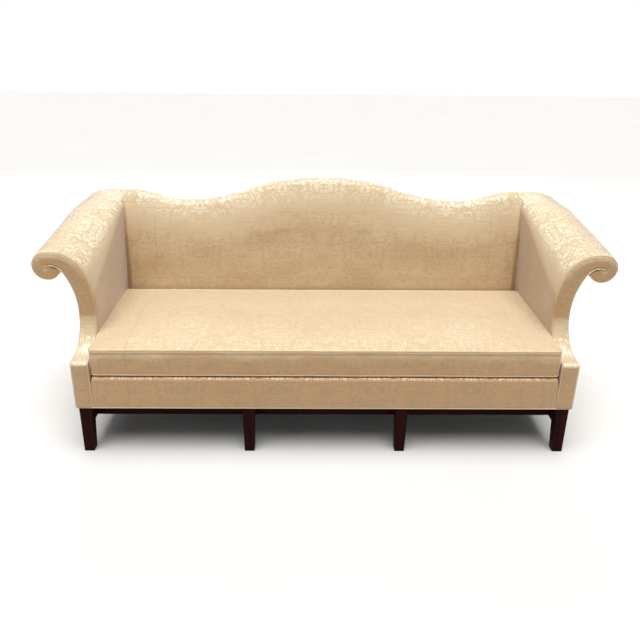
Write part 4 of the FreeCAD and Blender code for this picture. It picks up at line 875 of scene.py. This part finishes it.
def arm_cover(side, outer):
    """Inside or outside cover of one arm."""
    sign = SIDES[side]
    if outer:
        rows = arm_rows(sign, lambda end: side_path(end, 0, COVER_BASE), (26, 84))
        outwards, figure_start = Vector((sign, 0, -0.2)), OUTER_ARM_FIGURE
    else:
        counts = (44, 16, 22, 16, 16)
        rows = arm_rows(sign, lambda end: roll_path(end, 0, ARM_COVER_BASE), counts)
        outwards, figure_start = Vector((-sign, 0, 0.6)), 0.0
    runs = [lengths_along([tuple(spot) for spot in row]) for row in rows]
    full = bpy.context.scene.sofa_sizes.swell

    def swell(i, j, spot):
        front = (spot - rows[0][j]).length
        rear = (spot - rows[-1][j]).length
        tuck = -0.0022 * rise_and_fall(front, 0.007) - 0.0015 * rise_and_fall(rear, 0.006)
        ends = min(runs[i][j], runs[i][-1] - runs[i][j])
        body = full * (1 - rise_and_fall(front, 0.05)) * (1 - rise_and_fall(rear, 0.05))
        body *= 1.5 * (1 - rise_and_fall(ends, 0.06)) if outer else 0.5
        soft = 0.0014 * wander((spot.y, runs[i][j], sign), 0.13)
        soft *= min(front / 0.05, rear / 0.05, 1)
        return tuck + body + soft + puckers(runs[i][j], front, 0.0008)

    return upholstered(
        ("outside" if outer else "inside") + "_arm_" + side, rows,
        lambda i, j: (rows[i][j].y, runs[i][j] + figure_start), outwards, swell,
    )


def front_profile(offset):
    """Front of the arm seen from its side as (y, z), up to the start of the straight."""
    k = math.sqrt(0.5)
    small, reach = ARM_CORNER - offset, ARM_SWEEP + offset
    knee, top = (ARM_CORNER, SHELF - ARM_CORNER), SHELF - offset
    on_sweep = (SWEEP_CENTRE + reach * k, ARM_BEND - reach * k)
    return [
        ((offset, COVER_BASE), (offset, knee[1])),
        ((offset, knee[1]), (knee[0] - small * k, knee[1] + small * k), (knee[0], top)),
        ((knee[0], top), (SWEEP_CENTRE, top)),
        ((SWEEP_CENTRE, top), on_sweep, (ARM_SET_BACK + offset, ARM_BEND)),
    ]


def arm_facing(side):
    """Shaped panel on the front of an arm, with the crease of its scroll."""
    sign = SIDES[side]
    inset = WELT_ROOM - 0.0016
    across = spread(16, 0.5)
    rows = [
        [place(sign * (HALF_SEAT + inset + (ARM_WIDTH - 2 * inset) * t), y, z) for t in across]
        for y, z in sampled(front_profile(0.0), (44, 8, 6, 34))
    ]
    upright_rows = len(rows)
    near = roll_path("front", inset, ARM_BEND)
    far = reverse(side_path("front", inset, ARM_BEND))
    throat = throat_path("front", inset)
    centre = CIRCLES["front"]["arcs"][2][0]
    heart = (centre[0] + 0.004, centre[1] + 0.002)
    mouth = far[-1][-1]
    middle = ((mouth[0] + heart[0]) / 2 - 0.002, (mouth[1] + heart[1]) / 2 + 0.009)
    fold_line = (mouth, middle, heart)
    left = sampled(near + throat, (10, 24, 34, 26, 26, 8))[1:]
    right = sampled(far + [fold_line], (10, 58, 26))[1:]
    right += [heart] * (len(left) - len(right))

    def on_face(u, z):
        return place(sign * (HALF_SEAT + u), ARM_SET_BACK, z)

    for a, b in zip(left, right):
        rows.append([on_face(*between(a, b, t)) for t in across])
    crease = [on_face(u, z) for u, z in sampled([fold_line], (24,))]

    def swell(i, j, spot):
        width = (rows[i][0] - rows[i][-1]).length
        edge = min(across[j], 1 - across[j]) * width
        crown = 0.0024 * min(width / 0.045, 1) * 4 * across[j] * (1 - across[j])
        from_crease = min((spot - on_crease).length for on_crease in crease)
        if i >= upright_rows and from_crease < width:
            crown = 0.0024 * min(edge / 0.02, 1)
        fold = -0.0034 * rise_and_fall(from_crease, 0.0075)
        return crown + fold + puckers(spot.z * 1.3 + spot.x, edge, 0.0006)

    return upholstered(
        "facing_" + side, rows, lambda i, j: (rows[i][j].x, rows[i][j].z),
        Vector((0, -1, 0.2)), swell,
    )


def seat_border():
    """Cloth up the front of the seat and over its rolled edge."""
    bend, k = 0.015, math.sqrt(0.5)
    path = [
        ((0, COVER_BASE), (0, DECK - bend)),
        ((0, DECK - bend), (bend * (1 - k), DECK - bend * (1 - k)), (bend, DECK)),
        ((bend, DECK), (0.060, DECK)),
    ]
    spots = sampled(path, (34, 9, 9))
    run = lengths_along(spots)
    xs = across_seat(0.8)
    rows = []
    for x in xs:
        drop = 0.013 * (1 - rounded(ramp(COVER_HALF - abs(x), 0, 0.016)))
        rows.append([place(x, y, z - drop * ramp(z, 0.250, 0.05)) for y, z in spots])

    def swell(i, j, spot):
        tuck = -0.0030 * rise_and_fall(COVER_HALF - abs(xs[i]), 0.008)
        hem = -0.0012 * rise_and_fall(run[j], 0.005)
        soft = 0.0009 * wander((spot.x, spot.z * 1.5, 2.0), 0.10)
        return tuck + hem + soft * min(run[j] / 0.02, 1) + puckers(spot.x, run[j], 0.0005)

    return upholstered(
        "seat_border", rows, lambda i, j: (xs[i], run[j] + FRONT_FIGURE),
        Vector((0, -1, 0.2)), swell,
    )


# The cushion: half its width and depth between the seams' lines, and the y of its middle
SEAM_HALF_X = CUSHION_HALF - WELT_IN
SEAM_HALF_Y = (CUSHION_DEPTH - 2 * WELT_IN) / 2
MIDDLE_Y = CUSHION_FRONT + WELT_IN + (CUSHION_DEPTH - 2 * WELT_IN) / 2 + FRONT
STRAIGHT_X, STRAIGHT_Y = SEAM_HALF_X - CUSHION_CORNER, SEAM_HALF_Y - CUSHION_CORNER


def seam_height(seam, x, y):
    """Height of the cushion's piping, which isn't quite level."""
    return seam + 0.0011 * wander((x, y, seam * 7), 0.22)


def from_edge(x, y):
    """Distance in from the cushion's outline, away from its corners."""
    return max(min(SEAM_HALF_X - abs(x), SEAM_HALF_Y - abs(y - MIDDLE_Y)), 0)


def cushion_box():
    """Closed box with round corners, divided for the cushion, with its weave."""
    bm = bmesh.new()
    top = bmesh.ops.create_grid(bm, x_segments=116, y_segments=40, size=0.5)["verts"]
    for vert in top:
        x, y = vert.co.x * 2 * SEAM_HALF_X, vert.co.y * (2 * SEAM_HALF_Y)
        past_x, past_y = max(abs(x) - STRAIGHT_X, 0), max(abs(y) - STRAIGHT_Y, 0)
        far = math.hypot(past_x, past_y)
        if far > 0:
            pull = max(past_x, past_y) / far
            x = math.copysign(min(abs(x), STRAIGHT_X) + past_x * pull, x)
            y = math.copysign(min(abs(y), STRAIGHT_Y) + past_y * pull, y)
        vert.co = (x, y + MIDDLE_Y, HIGH_SEAM)
    weave = bm.loops.layers.uv.new("weave")
    ring = [edge for edge in bm.edges if edge.is_boundary]
    above = {vert for edge in ring for vert in edge.verts}
    levels = 8
    for level in range(1, levels + 1):
        grown = bmesh.ops.extrude_edge_only(bm, edges=ring)["geom"]
        ring = [item for item in grown if isinstance(item, bmesh.types.BMEdge)
                and not any(vert in above for vert in item.verts)]
        above = {item for item in grown if isinstance(item, bmesh.types.BMVert)}
        for vert in above:
            vert.co.z = HIGH_SEAM + (LOW_SEAM - HIGH_SEAM) * level / levels
    flat = set(top)
    faces = [face for face in bm.faces if all(vert in flat for vert in face.verts)]
    for item in bmesh.ops.duplicate(bm, geom=top + faces)["geom"]:
        if isinstance(item, bmesh.types.BMVert):
            item.co.z = LOW_SEAM
    bmesh.ops.remove_doubles(bm, verts=bm.verts[:], dist=1e-6)
    bmesh.ops.recalc_face_normals(bm, faces=bm.faces[:])
    for face in bm.faces:
        normal = face.normal
        for loop in face.loops:
            x, y, z = loop.vert.co
            if abs(normal.z) > 0.7:
                loop[weave].uv = (x, y - FRONT + (TOP_FIGURE if normal.z > 0 else 0.0))
            else:
                across = x if abs(normal.y) > abs(normal.x) else y
                loop[weave].uv = (across, z - FRONT_FIGURE)
    return bm


def seat_cushion():
    """Cushion cover: crowned top, swelling sides and a flat underside, one closed form."""
    crown = bpy.context.scene.sofa_sizes.crown
    bm = cushion_box()
    for vert in bm.verts:
        x, y, z = vert.co
        if z > HIGH_SEAM - SAME_LEVEL:
            side = min(max(1 - abs(x) / SEAM_HALF_X, 0) * 3.2, 1)
            across = max(1 - abs(y - MIDDLE_Y) / SEAM_HALF_Y, 0)
            vert.co.z += crown * (1 - (1 - across) ** 2.6) * (1 - (1 - side) ** 2.2)
        elif z < LOW_SEAM + SAME_LEVEL:
            vert.co.z -= (LOW_SEAM - DECK - 0.0012) * (1 - rise_and_fall(from_edge(x, y), 0.045))
        else:
            swell = math.sin(math.pi * ramp(HIGH_SEAM - z, 0, HIGH_SEAM - LOW_SEAM))
            out_y = ramp(abs(y - MIDDLE_Y), STRAIGHT_Y, CUSHION_CORNER)
            out_x = ramp(abs(x), STRAIGHT_X, CUSHION_CORNER)
            vert.co.y += math.copysign(out_y * 0.0035 * swell, y - MIDDLE_Y)
            vert.co.x += math.copysign(out_x * 0.0010 * swell, x)
    bm.verts.index_update()
    sewn = [
        vert.index for vert in bm.verts if vert.co.z < LOW_SEAM + SAME_LEVEL
        or (abs(vert.co.z - HIGH_SEAM) < SAME_LEVEL and from_edge(vert.co.x, vert.co.y) < 1e-4)
    ]
    cover = new_object("seat_cushion_cover", bm)
    inflate(cover, sewn)
    bm = bmesh.new()
    bm.from_mesh(cover.data)
    bmesh.ops.subdivide_edges(bm, edges=bm.edges[:], cuts=1, use_grid_fill=True, smooth=1.0)
    bm.normal_update()
    moves = [wear(vert.co, vert.normal) for vert in bm.verts]
    for vert, move in zip(bm.verts, moves):
        vert.co += move
        vert.co.z = max(vert.co.z, DECK + 0.0002)
    bm.to_mesh(cover.data)
    bm.free()
    shade(cover.data, True)
    return cover


def wear(spot, normal):
    """Way that a spot of the cushion moves through use and through its uneven seams."""
    x, y, z = spot
    if normal.z < -0.5:
        return Vector((0, 0, seam_height(LOW_SEAM, x, y) - LOW_SEAM))
    seam = HIGH_SEAM if z > (HIGH_SEAM + LOW_SEAM) / 2 else LOW_SEAM
    from_seam = from_edge(x, y) if normal.z > 0.6 else min(abs(z - HIGH_SEAM), abs(z - LOW_SEAM))
    soft = 0.0022 * wander((x, y, z), 0.15) + 0.0010 * wander((x, y, z + 5), 0.055)
    worn = soft * min(from_seam / 0.04, 1) + puckers(x + y, from_seam, 0.0009)
    return normal * worn + Vector((0, 0, seam_height(seam, x, y) - seam))


def inflate(piece, sewn):
    """Press a sewn cover outwards by cloth simulation; no spot moves further than the cap."""
    scene = bpy.context.scene
    piece.vertex_groups.new(name="sewn").add(sewn, 1.0, "REPLACE")
    cloth = piece.modifiers.new("cloth", "CLOTH")
    settings = cloth.settings
    settings.quality = 5
    settings.mass = 0.3
    settings.tension_stiffness = settings.compression_stiffness = 20
    settings.bending_stiffness = 0.5
    settings.use_pressure = True
    settings.uniform_pressure_force = 4.0
    settings.effector_weights.gravity = 0
    settings.vertex_group_mass = "sewn"
    cloth.collision_settings.use_collision = False
    cloth.point_cache.frame_start, cloth.point_cache.frame_end = 1, PRESS_FRAMES
    for step in range(1, PRESS_FRAMES + 1):
        scene.frame_set(step)
    view = piece.evaluated_get(bpy.context.evaluated_depsgraph_get())
    spots = [vert.co.copy() for vert in view.data.vertices]
    piece.modifiers.remove(cloth)
    scene.frame_set(1)
    for vert, spot in zip(piece.data.vertices, spots):
        move = spot - vert.co
        vert.co += move * min(1, PRESS_CAP / max(move.length, 1e-9))
    piece.vertex_groups.clear()


def plan_spots(half, front, rear, corner, height):
    """Spots round a rectangle with round corners; height gives z at (x, y)."""
    k = corner * (1 - math.sqrt(0.5))
    path = [
        ((-half + corner, front), (half - corner, front)),
        ((half - corner, front), (half - k, front + k), (half, front + corner)),
        ((half, front + corner), (half, rear - corner)),
        ((half, rear - corner), (half - k, rear - k), (half - corner, rear)),
        ((half - corner, rear), (-half + corner, rear)),
        ((-half + corner, rear), (-half + k, rear - k), (-half, rear - corner)),
        ((-half, rear - corner), (-half, front + corner)),
        ((-half, front + corner), (-half + k, front + k), (-half + corner, front)),
    ]
    spots = sampled(path, (120, 6, 44, 6, 120, 6, 44, 6))[:-1]
    return [place(x, y, height(x, y)) for x, y in spots]


def arm_welt(side):
    """Piping round the front of one arm."""
    sign = SIDES[side]
    climb = sampled(front_profile(WELT_IN), (30, 5, 4, 24))
    spots = [place(sign * (HALF_SEAT + WELT_IN), y, z) for y, z in climb]
    over = roll_path("front", WELT_IN, ARM_BEND) + throat_path("front", WELT_IN)
    over += side_path("front", WELT_IN, ARM_BEND)
    for u, z in sampled(over, (6, 18, 30, 22, 22, 8, 30, 3))[1:-1]:
        spots.append(place(sign * (HALF_SEAT + u), ARM_SET_BACK + WELT_IN, z))
    spots += [place(sign * (BASE_HALF - WELT_IN), y, z) for y, z in climb[::-1]]
    return tube("arm_welt_" + side, spots)


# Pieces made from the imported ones
def packed_mesh(node, angle, keep=None):
    """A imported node's mesh with its flat faces whole, or only those of them that face a way."""
    bm = bmesh.new()
    bm.from_mesh(frame["nodes"][node].data)
    bmesh.ops.remove_doubles(bm, verts=bm.verts[:], dist=2e-5)
    if keep is not None:
        bm.normal_update()
        away = [face for face in bm.faces if face.normal.dot(keep) < 0.9]
        bmesh.ops.delete(bm, geom=away, context="FACES")
    bmesh.ops.dissolve_limit(bm, angle_limit=angle, verts=bm.verts[:], edges=bm.edges[:])
    return bm


def without_large_faces(bm):
    """Faces of more than four corners are divided into triangles."""
    bmesh.ops.triangulate(bm, faces=[face for face in bm.faces if len(face.verts) > 4])


def recut(node, name, keep, pitch, threads, shift, settle=None):
    """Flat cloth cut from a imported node's faces on one side, divided and given its fullness."""
    bm = packed_mesh(node, 0.01, keep)
    flat = max(range(3), key=lambda axis: abs(keep[axis]))
    low = [min(vert.co[axis] for vert in bm.verts) for axis in range(3)]
    high = [max(vert.co[axis] for vert in bm.verts) for axis in range(3)]
    for axis in range(3):
        if axis == flat:
            continue
        steps = int((high[axis] - low[axis]) / pitch)
        normal = Vector([1.0 if index == axis else 0.0 for index in range(3)])
        for step in range(1, steps + 1):
            spot = normal * (low[axis] + (high[axis] - low[axis]) * step / (steps + 1))
            geometry = bm.verts[:] + bm.edges[:] + bm.faces[:]
            bmesh.ops.bisect_plane(bm, geom=geometry, plane_co=spot, plane_no=normal)
    without_large_faces(bm)
    if settle:
        for vert in bm.verts:
            settle(vert.co)
    border = [vert.co.copy() for vert in bm.verts if vert.is_boundary]
    weave = bm.loops.layers.uv.new("weave")
    for face in bm.faces:
        for loop in face.loops:
            loop[weave].uv = threads(loop.vert.co)
    for vert in bm.verts:
        if not vert.is_boundary:
            edge = min((vert.co - spot).length for spot in border)
            vert.co += keep * shift(vert.co, edge)
    return new_object(name, bm)


def eased(node, radius):
    """A wooden piece of the frame with its edges rounded over."""
    bm = packed_mesh(node, 0.02)
    bm.normal_update()
    sharp = [edge for edge in bm.edges
             if edge.is_manifold and edge.calc_face_angle(0) > 0.6 and edge.calc_length() > 0.012]
    bmesh.ops.bevel(
        bm, geom=sharp, offset=radius, affect="EDGES", segments=2, profile=0.5, material=-1,
        clamp_overlap=True,
    )
    without_large_faces(bm)
    made = new_object("finished_" + node, bm)
    shade(made.data, False)
    return made


# Operators, one for each piece or group of like pieces
class SOFA_OT_legs(bpy.types.Operator):
    """Finish the legs and stretchers in polished mahogany"""

    bl_idname = "sofa.legs"
    bl_label = "Legs and stretchers"

    def execute(self, context):
        arris = context.scene.sofa_sizes.arris
        for node in list(frame["nodes"]):
            if "_leg_" not in node and "stretcher" not in node:
                continue
            finish = "mahogany"
            if "stretcher" in node:
                finish += "_x" if "long" in node else "_y"
            dress(eased(node, arris), finish, "mahogany", "sofa", node)
        return {"FINISHED"}


class SOFA_OT_back(bpy.types.Operator):
    """Cover the inside back and the outside back"""

    bl_idname = "sofa.back"
    bl_label = "Back"

    def execute(self, context):
        back = inside_back()
        dress(back, "damask", "damask", "sofa", "inside_back_cover", "back_pad")

        def fullness(spot, edge):
            full = 0.0022 * (1 - rise_and_fall(edge, 0.05))
            return full + puckers(spot.x + spot.z, edge, 0.0006)

        def settle(spot):
            outer = 1 - rise_and_fall(abs(spot.x) - HALF_SEAT + 0.006, 0.006)
            drop = REAR_DROP * outer * ramp(spot.z, DROP_FROM, DROP_RAMP)
            spot.z -= drop
            spot.y -= drop * math.tan(RAKE)

        panel = recut(
            "outside_back_cover", "outside_back", Vector((0, math.cos(RAKE), -math.sin(RAKE))),
            0.022, lambda spot: (spot.x, spot.z), fullness, settle,
        )
        thickened(panel)
        dress(panel, "damask", "damask", "sofa", "outside_back_cover")
        return {"FINISHED"}


class SOFA_OT_arms(bpy.types.Operator):
    """Cover the arms inside and outside, and their shaped fronts"""

    bl_idname = "sofa.arms"
    bl_label = "Arms"

    def execute(self, context):
        for side in SIDES:
            cover = arm_cover(side, False)
            nodes = ("inside_arm_cover_" + side, "arm_pad_" + side)
            dress(cover, "plain_damask", "damask", "sofa", *nodes)
            cover = arm_cover(side, True)
            dress(cover, "plain_damask", "damask", "sofa", "outside_arm_cover_" + side)
            facing = arm_facing(side)
            dress(facing, "plain_damask", "damask", "sofa", "arm_facing_" + side)
        return {"FINISHED"}


class SOFA_OT_seat(bpy.types.Operator):
    """Cover the front border and the deck under the cushion"""

    bl_idname = "sofa.seat"
    bl_label = "Border and deck"

    def execute(self, context):
        border = seat_border()
        dress(border, "border_damask", "damask", "sofa", "front_border", "front_edge_roll")

        def plan(spot):
            return spot.x, spot.y

        deck = recut(
            "seat_deck_cover", "deck", Vector((0, 0, 1)), 0.04, plan,
            lambda spot, edge: -0.0015 * (1 - rise_and_fall(edge, 0.08)),
        )
        thickened(deck)
        dress(deck, "deck_cloth", "deck_cloth", "sofa", "seat_deck_cover", "seat_deck_pad")
        dust = recut(
            "dust_cover", "dust_cloth", Vector((0, 0, -1)), 0.05, plan,
            lambda spot, edge: 0.0012 * (1 - rise_and_fall(edge, 0.1)),
        )
        thickened(dust, DUST_CLOTH)
        dress(dust, "dust_cloth", "dust_cloth", "sofa", "dust_cover")
        return {"FINISHED"}


class SOFA_OT_cushion(bpy.types.Operator):
    """Make the loose seat cushion with its piping and closure"""

    bl_idname = "sofa.cushion"
    bl_label = "Seat cushion"

    def execute(self, context):
        cushion = seat_cushion()
        nodes = ("cushion_core", "cushion_top_panel", "cushion_bottom_panel", "cushion_boxing")
        dress(cushion, "damask", "damask", "seat_cushion", *nodes)
        cords = []
        for seam in (LOW_SEAM, HIGH_SEAM):
            spots = plan_spots(
                SEAM_HALF_X, CUSHION_FRONT + WELT_IN, CUSHION_FRONT + CUSHION_DEPTH - WELT_IN,
                CUSHION_CORNER, lambda x, y: seam_height(seam, x, y + FRONT),
            )
            cords.append(tube("cushion_cord", spots, closed=True, sides=10))
        piping = joined("cushion_welts", cords)
        dress(piping, "piping", "damask_piping", "seat_cushion", "cushion_piping")
        clothe(frame["nodes"]["cushion_zipper"], "tape")
        return {"FINISHED"}


class SOFA_OT_piping(bpy.types.Operator):
    """Pipe the fronts of the arms and the foot of the cloth"""

    bl_idname = "sofa.piping"
    bl_label = "Piping"

    def execute(self, context):
        piping = joined("arm_welts", [arm_welt(side) for side in SIDES])
        dress(piping, "piping", "damask_piping", "sofa", "arm_piping")
        spots = plan_spots(
            BASE_HALF - WELT_IN, WELT_IN, outside_back(SEAT_FRAME) - WELT_IN, 0.005,
            lambda x, y: SEAT_FRAME + 0.0002,
        )
        foot = tube("base_welt", spots, closed=True, sides=10)
        dress(foot, "piping", "damask_piping", "sofa", "base_piping")
        return {"FINISHED"}


class SOFA_OT_frame(bpy.types.Operator):
    """Give the hidden frame, springs and cloths their materials"""

    bl_idname = "sofa.frame"
    bl_label = "Hidden frame"

    def execute(self, context):
        finishes = {
            "frame_wood": "frame_wood", "spring_steel": "steel", "hessian": "hessian",
            "webbing": "webbing", "foam": "filling",
        }
        slots = {entry["node"]: entry["material_slot"] for entry in frame["record"]["subparts"]}
        for node, thing in frame["nodes"].items():
            if slots[node] in finishes:
                clothe(thing, finishes[slots[node]])
        return {"FINISHED"}


def added(name, data, matrix):
    """Object of a light or a camera, put where the matrix says."""
    made = bpy.data.objects.new(name, data)
    made.matrix_world = matrix
    bpy.context.scene.collection.objects.link(made)
    return made


def soft_light(name, spot, toward, size, power, colour):
    """Large soft light facing a spot."""
    data = bpy.data.lights.new(name, "AREA")
    data.shape = "RECTANGLE"
    data.size, data.size_y = size
    data.energy, data.color = power, colour
    way = Vector(toward) - Vector(spot)
    added(name, data, Matrix.Translation(spot) @ way.to_track_quat("-Z", "Y").to_matrix().to_4x4())


def pale_floor():
    """Large level floor, nearly white."""
    bm = bmesh.new()
    bmesh.ops.create_grid(bm, x_segments=1, y_segments=1, size=12)
    bm.normal_update()
    floor = new_object("floor", bm)
    f = Finish("pale_floor")
    shown = f.mix(f.noise(f.spot(), 1.5, 2.0), (0.72, 0.72, 0.72, 1), (0.76, 0.76, 0.76, 1))
    floor.data.materials.append(f.shaded(shown, 0.8))
    return floor


def studio_world(scene):
    """Faint light from all round; the camera itself sees plain white."""
    world = scene.world or bpy.data.worlds.new("studio")
    scene.world = world
    world.use_nodes = True
    tree = world.node_tree
    sky, seen = tree.nodes.get("Background"), tree.nodes.new("ShaderNodeBackground")
    choice, path = tree.nodes.new("ShaderNodeMixShader"), tree.nodes.new("ShaderNodeLightPath")
    sky.inputs["Color"].default_value = (1.0, 0.99, 0.97, 1)
    sky.inputs["Strength"].default_value = 0.20
    seen.inputs["Color"].default_value = (1.0, 1.0, 1.0, 1)
    tree.links.new(path.outputs["Is Camera Ray"], choice.inputs[0])
    tree.links.new(sky.outputs[0], choice.inputs[1])
    tree.links.new(seen.outputs[0], choice.inputs[2])
    tree.links.new(choice.outputs[0], tree.nodes.get("World Output").inputs["Surface"])


def fitted_camera():
    """Camera with the place, the direction and the lens that were fitted to the photograph."""
    data = bpy.data.cameras.new("camera")
    data.sensor_fit = "AUTO"
    data.sensor_width = 36.0
    data.lens = FOCAL / PICTURE * data.sensor_width
    data.shift_x = (PICTURE / 2 - VIEW_CENTRE[0]) / PICTURE
    data.shift_y = (VIEW_CENTRE[1] - PICTURE / 2) / PICTURE
    pitch, yaw, roll = (math.radians(turn) for turn in (CAMERA_PITCH, CAMERA_YAW, CAMERA_ROLL))
    forward = Vector((
        math.sin(yaw) * math.cos(pitch), math.cos(yaw) * math.cos(pitch), -math.sin(pitch),
    ))
    level = forward.cross(Vector((0, 0, 1))).normalized()
    upright = level.cross(forward)
    across = level * math.cos(roll) + upright * math.sin(roll)
    up = upright * math.cos(roll) - level * math.sin(roll)
    turn = Matrix((across, up, -forward)).transposed()
    return added("camera", data, Matrix.Translation(Vector(CAMERA_PLACE)) @ turn.to_4x4())


class SOFA_OT_stage(bpy.types.Operator):
    """Lay the floor and set the lights and the camera"""

    bl_idname = "sofa.stage"
    bl_label = "Floor, lights and camera"

    def execute(self, context):
        floor = pale_floor()
        studio_world(context.scene)
        soft_light("back_light", (0, 3.4, 2.3), (0, 0, 0.5), (4.6, 1.5), 60, (1.0, 0.99, 0.97))
        soft_light(
            "window_light", (-2.9, -1.9, 2.3), (0.4, 0, 0.5), (1.4, 1.4), 7, (0.97, 0.98, 1.0),
        )
        data = bpy.data.lights.new("ceiling_light", "SUN")
        data.energy, data.angle, data.color = 3.7, math.radians(52), (1.0, 0.985, 0.96)
        added("ceiling_light", data, Matrix.Rotation(math.radians(11), 4, "X"))
        context.scene.view_settings.view_transform = "Standard"
        context.scene.view_settings.look = "None"
        context.scene.camera = fitted_camera()
        return {"FINISHED"}


OPERATORS = (
    SOFA_OT_cushion, SOFA_OT_legs, SOFA_OT_frame, SOFA_OT_back, SOFA_OT_arms, SOFA_OT_seat,
    SOFA_OT_piping, SOFA_OT_stage,
)


class SOFA_PT_panel(bpy.types.Panel):
    """Pieces of the sofa, with the values that they read"""

    bl_idname = "SOFA_PT_panel"
    bl_label = "Camelback sofa"
    bl_space_type = "VIEW_3D"
    bl_region_type = "UI"
    bl_category = "Sofa"

    def draw(self, context):
        for group in (context.scene.sofa_cloth, context.scene.sofa_wood, context.scene.sofa_sizes):
            for name in group.__annotations__:
                self.layout.prop(group, name)
        for operator in OPERATORS:
            self.layout.operator(operator.bl_idname)


GROUPS = {"sofa_cloth": SofaCloth, "sofa_wood": SofaWood, "sofa_sizes": SofaSizes}


def register():
    for name, group in GROUPS.items():
        bpy.utils.register_class(group)
        setattr(bpy.types.Scene, name, PointerProperty(type=group))
    for item in OPERATORS + (SOFA_PT_panel,):
        bpy.utils.register_class(item)


def unregister():
    for item in reversed(OPERATORS + (SOFA_PT_panel,)):
        bpy.utils.unregister_class(item)
    for name, group in GROUPS.items():
        delattr(bpy.types.Scene, name)
        bpy.utils.unregister_class(group)


def main():
    register()
    for operator in OPERATORS:
        module, name = operator.bl_idname.split(".")
        getattr(getattr(bpy.ops, module), name)()


if __name__ == "__main__":
    main()
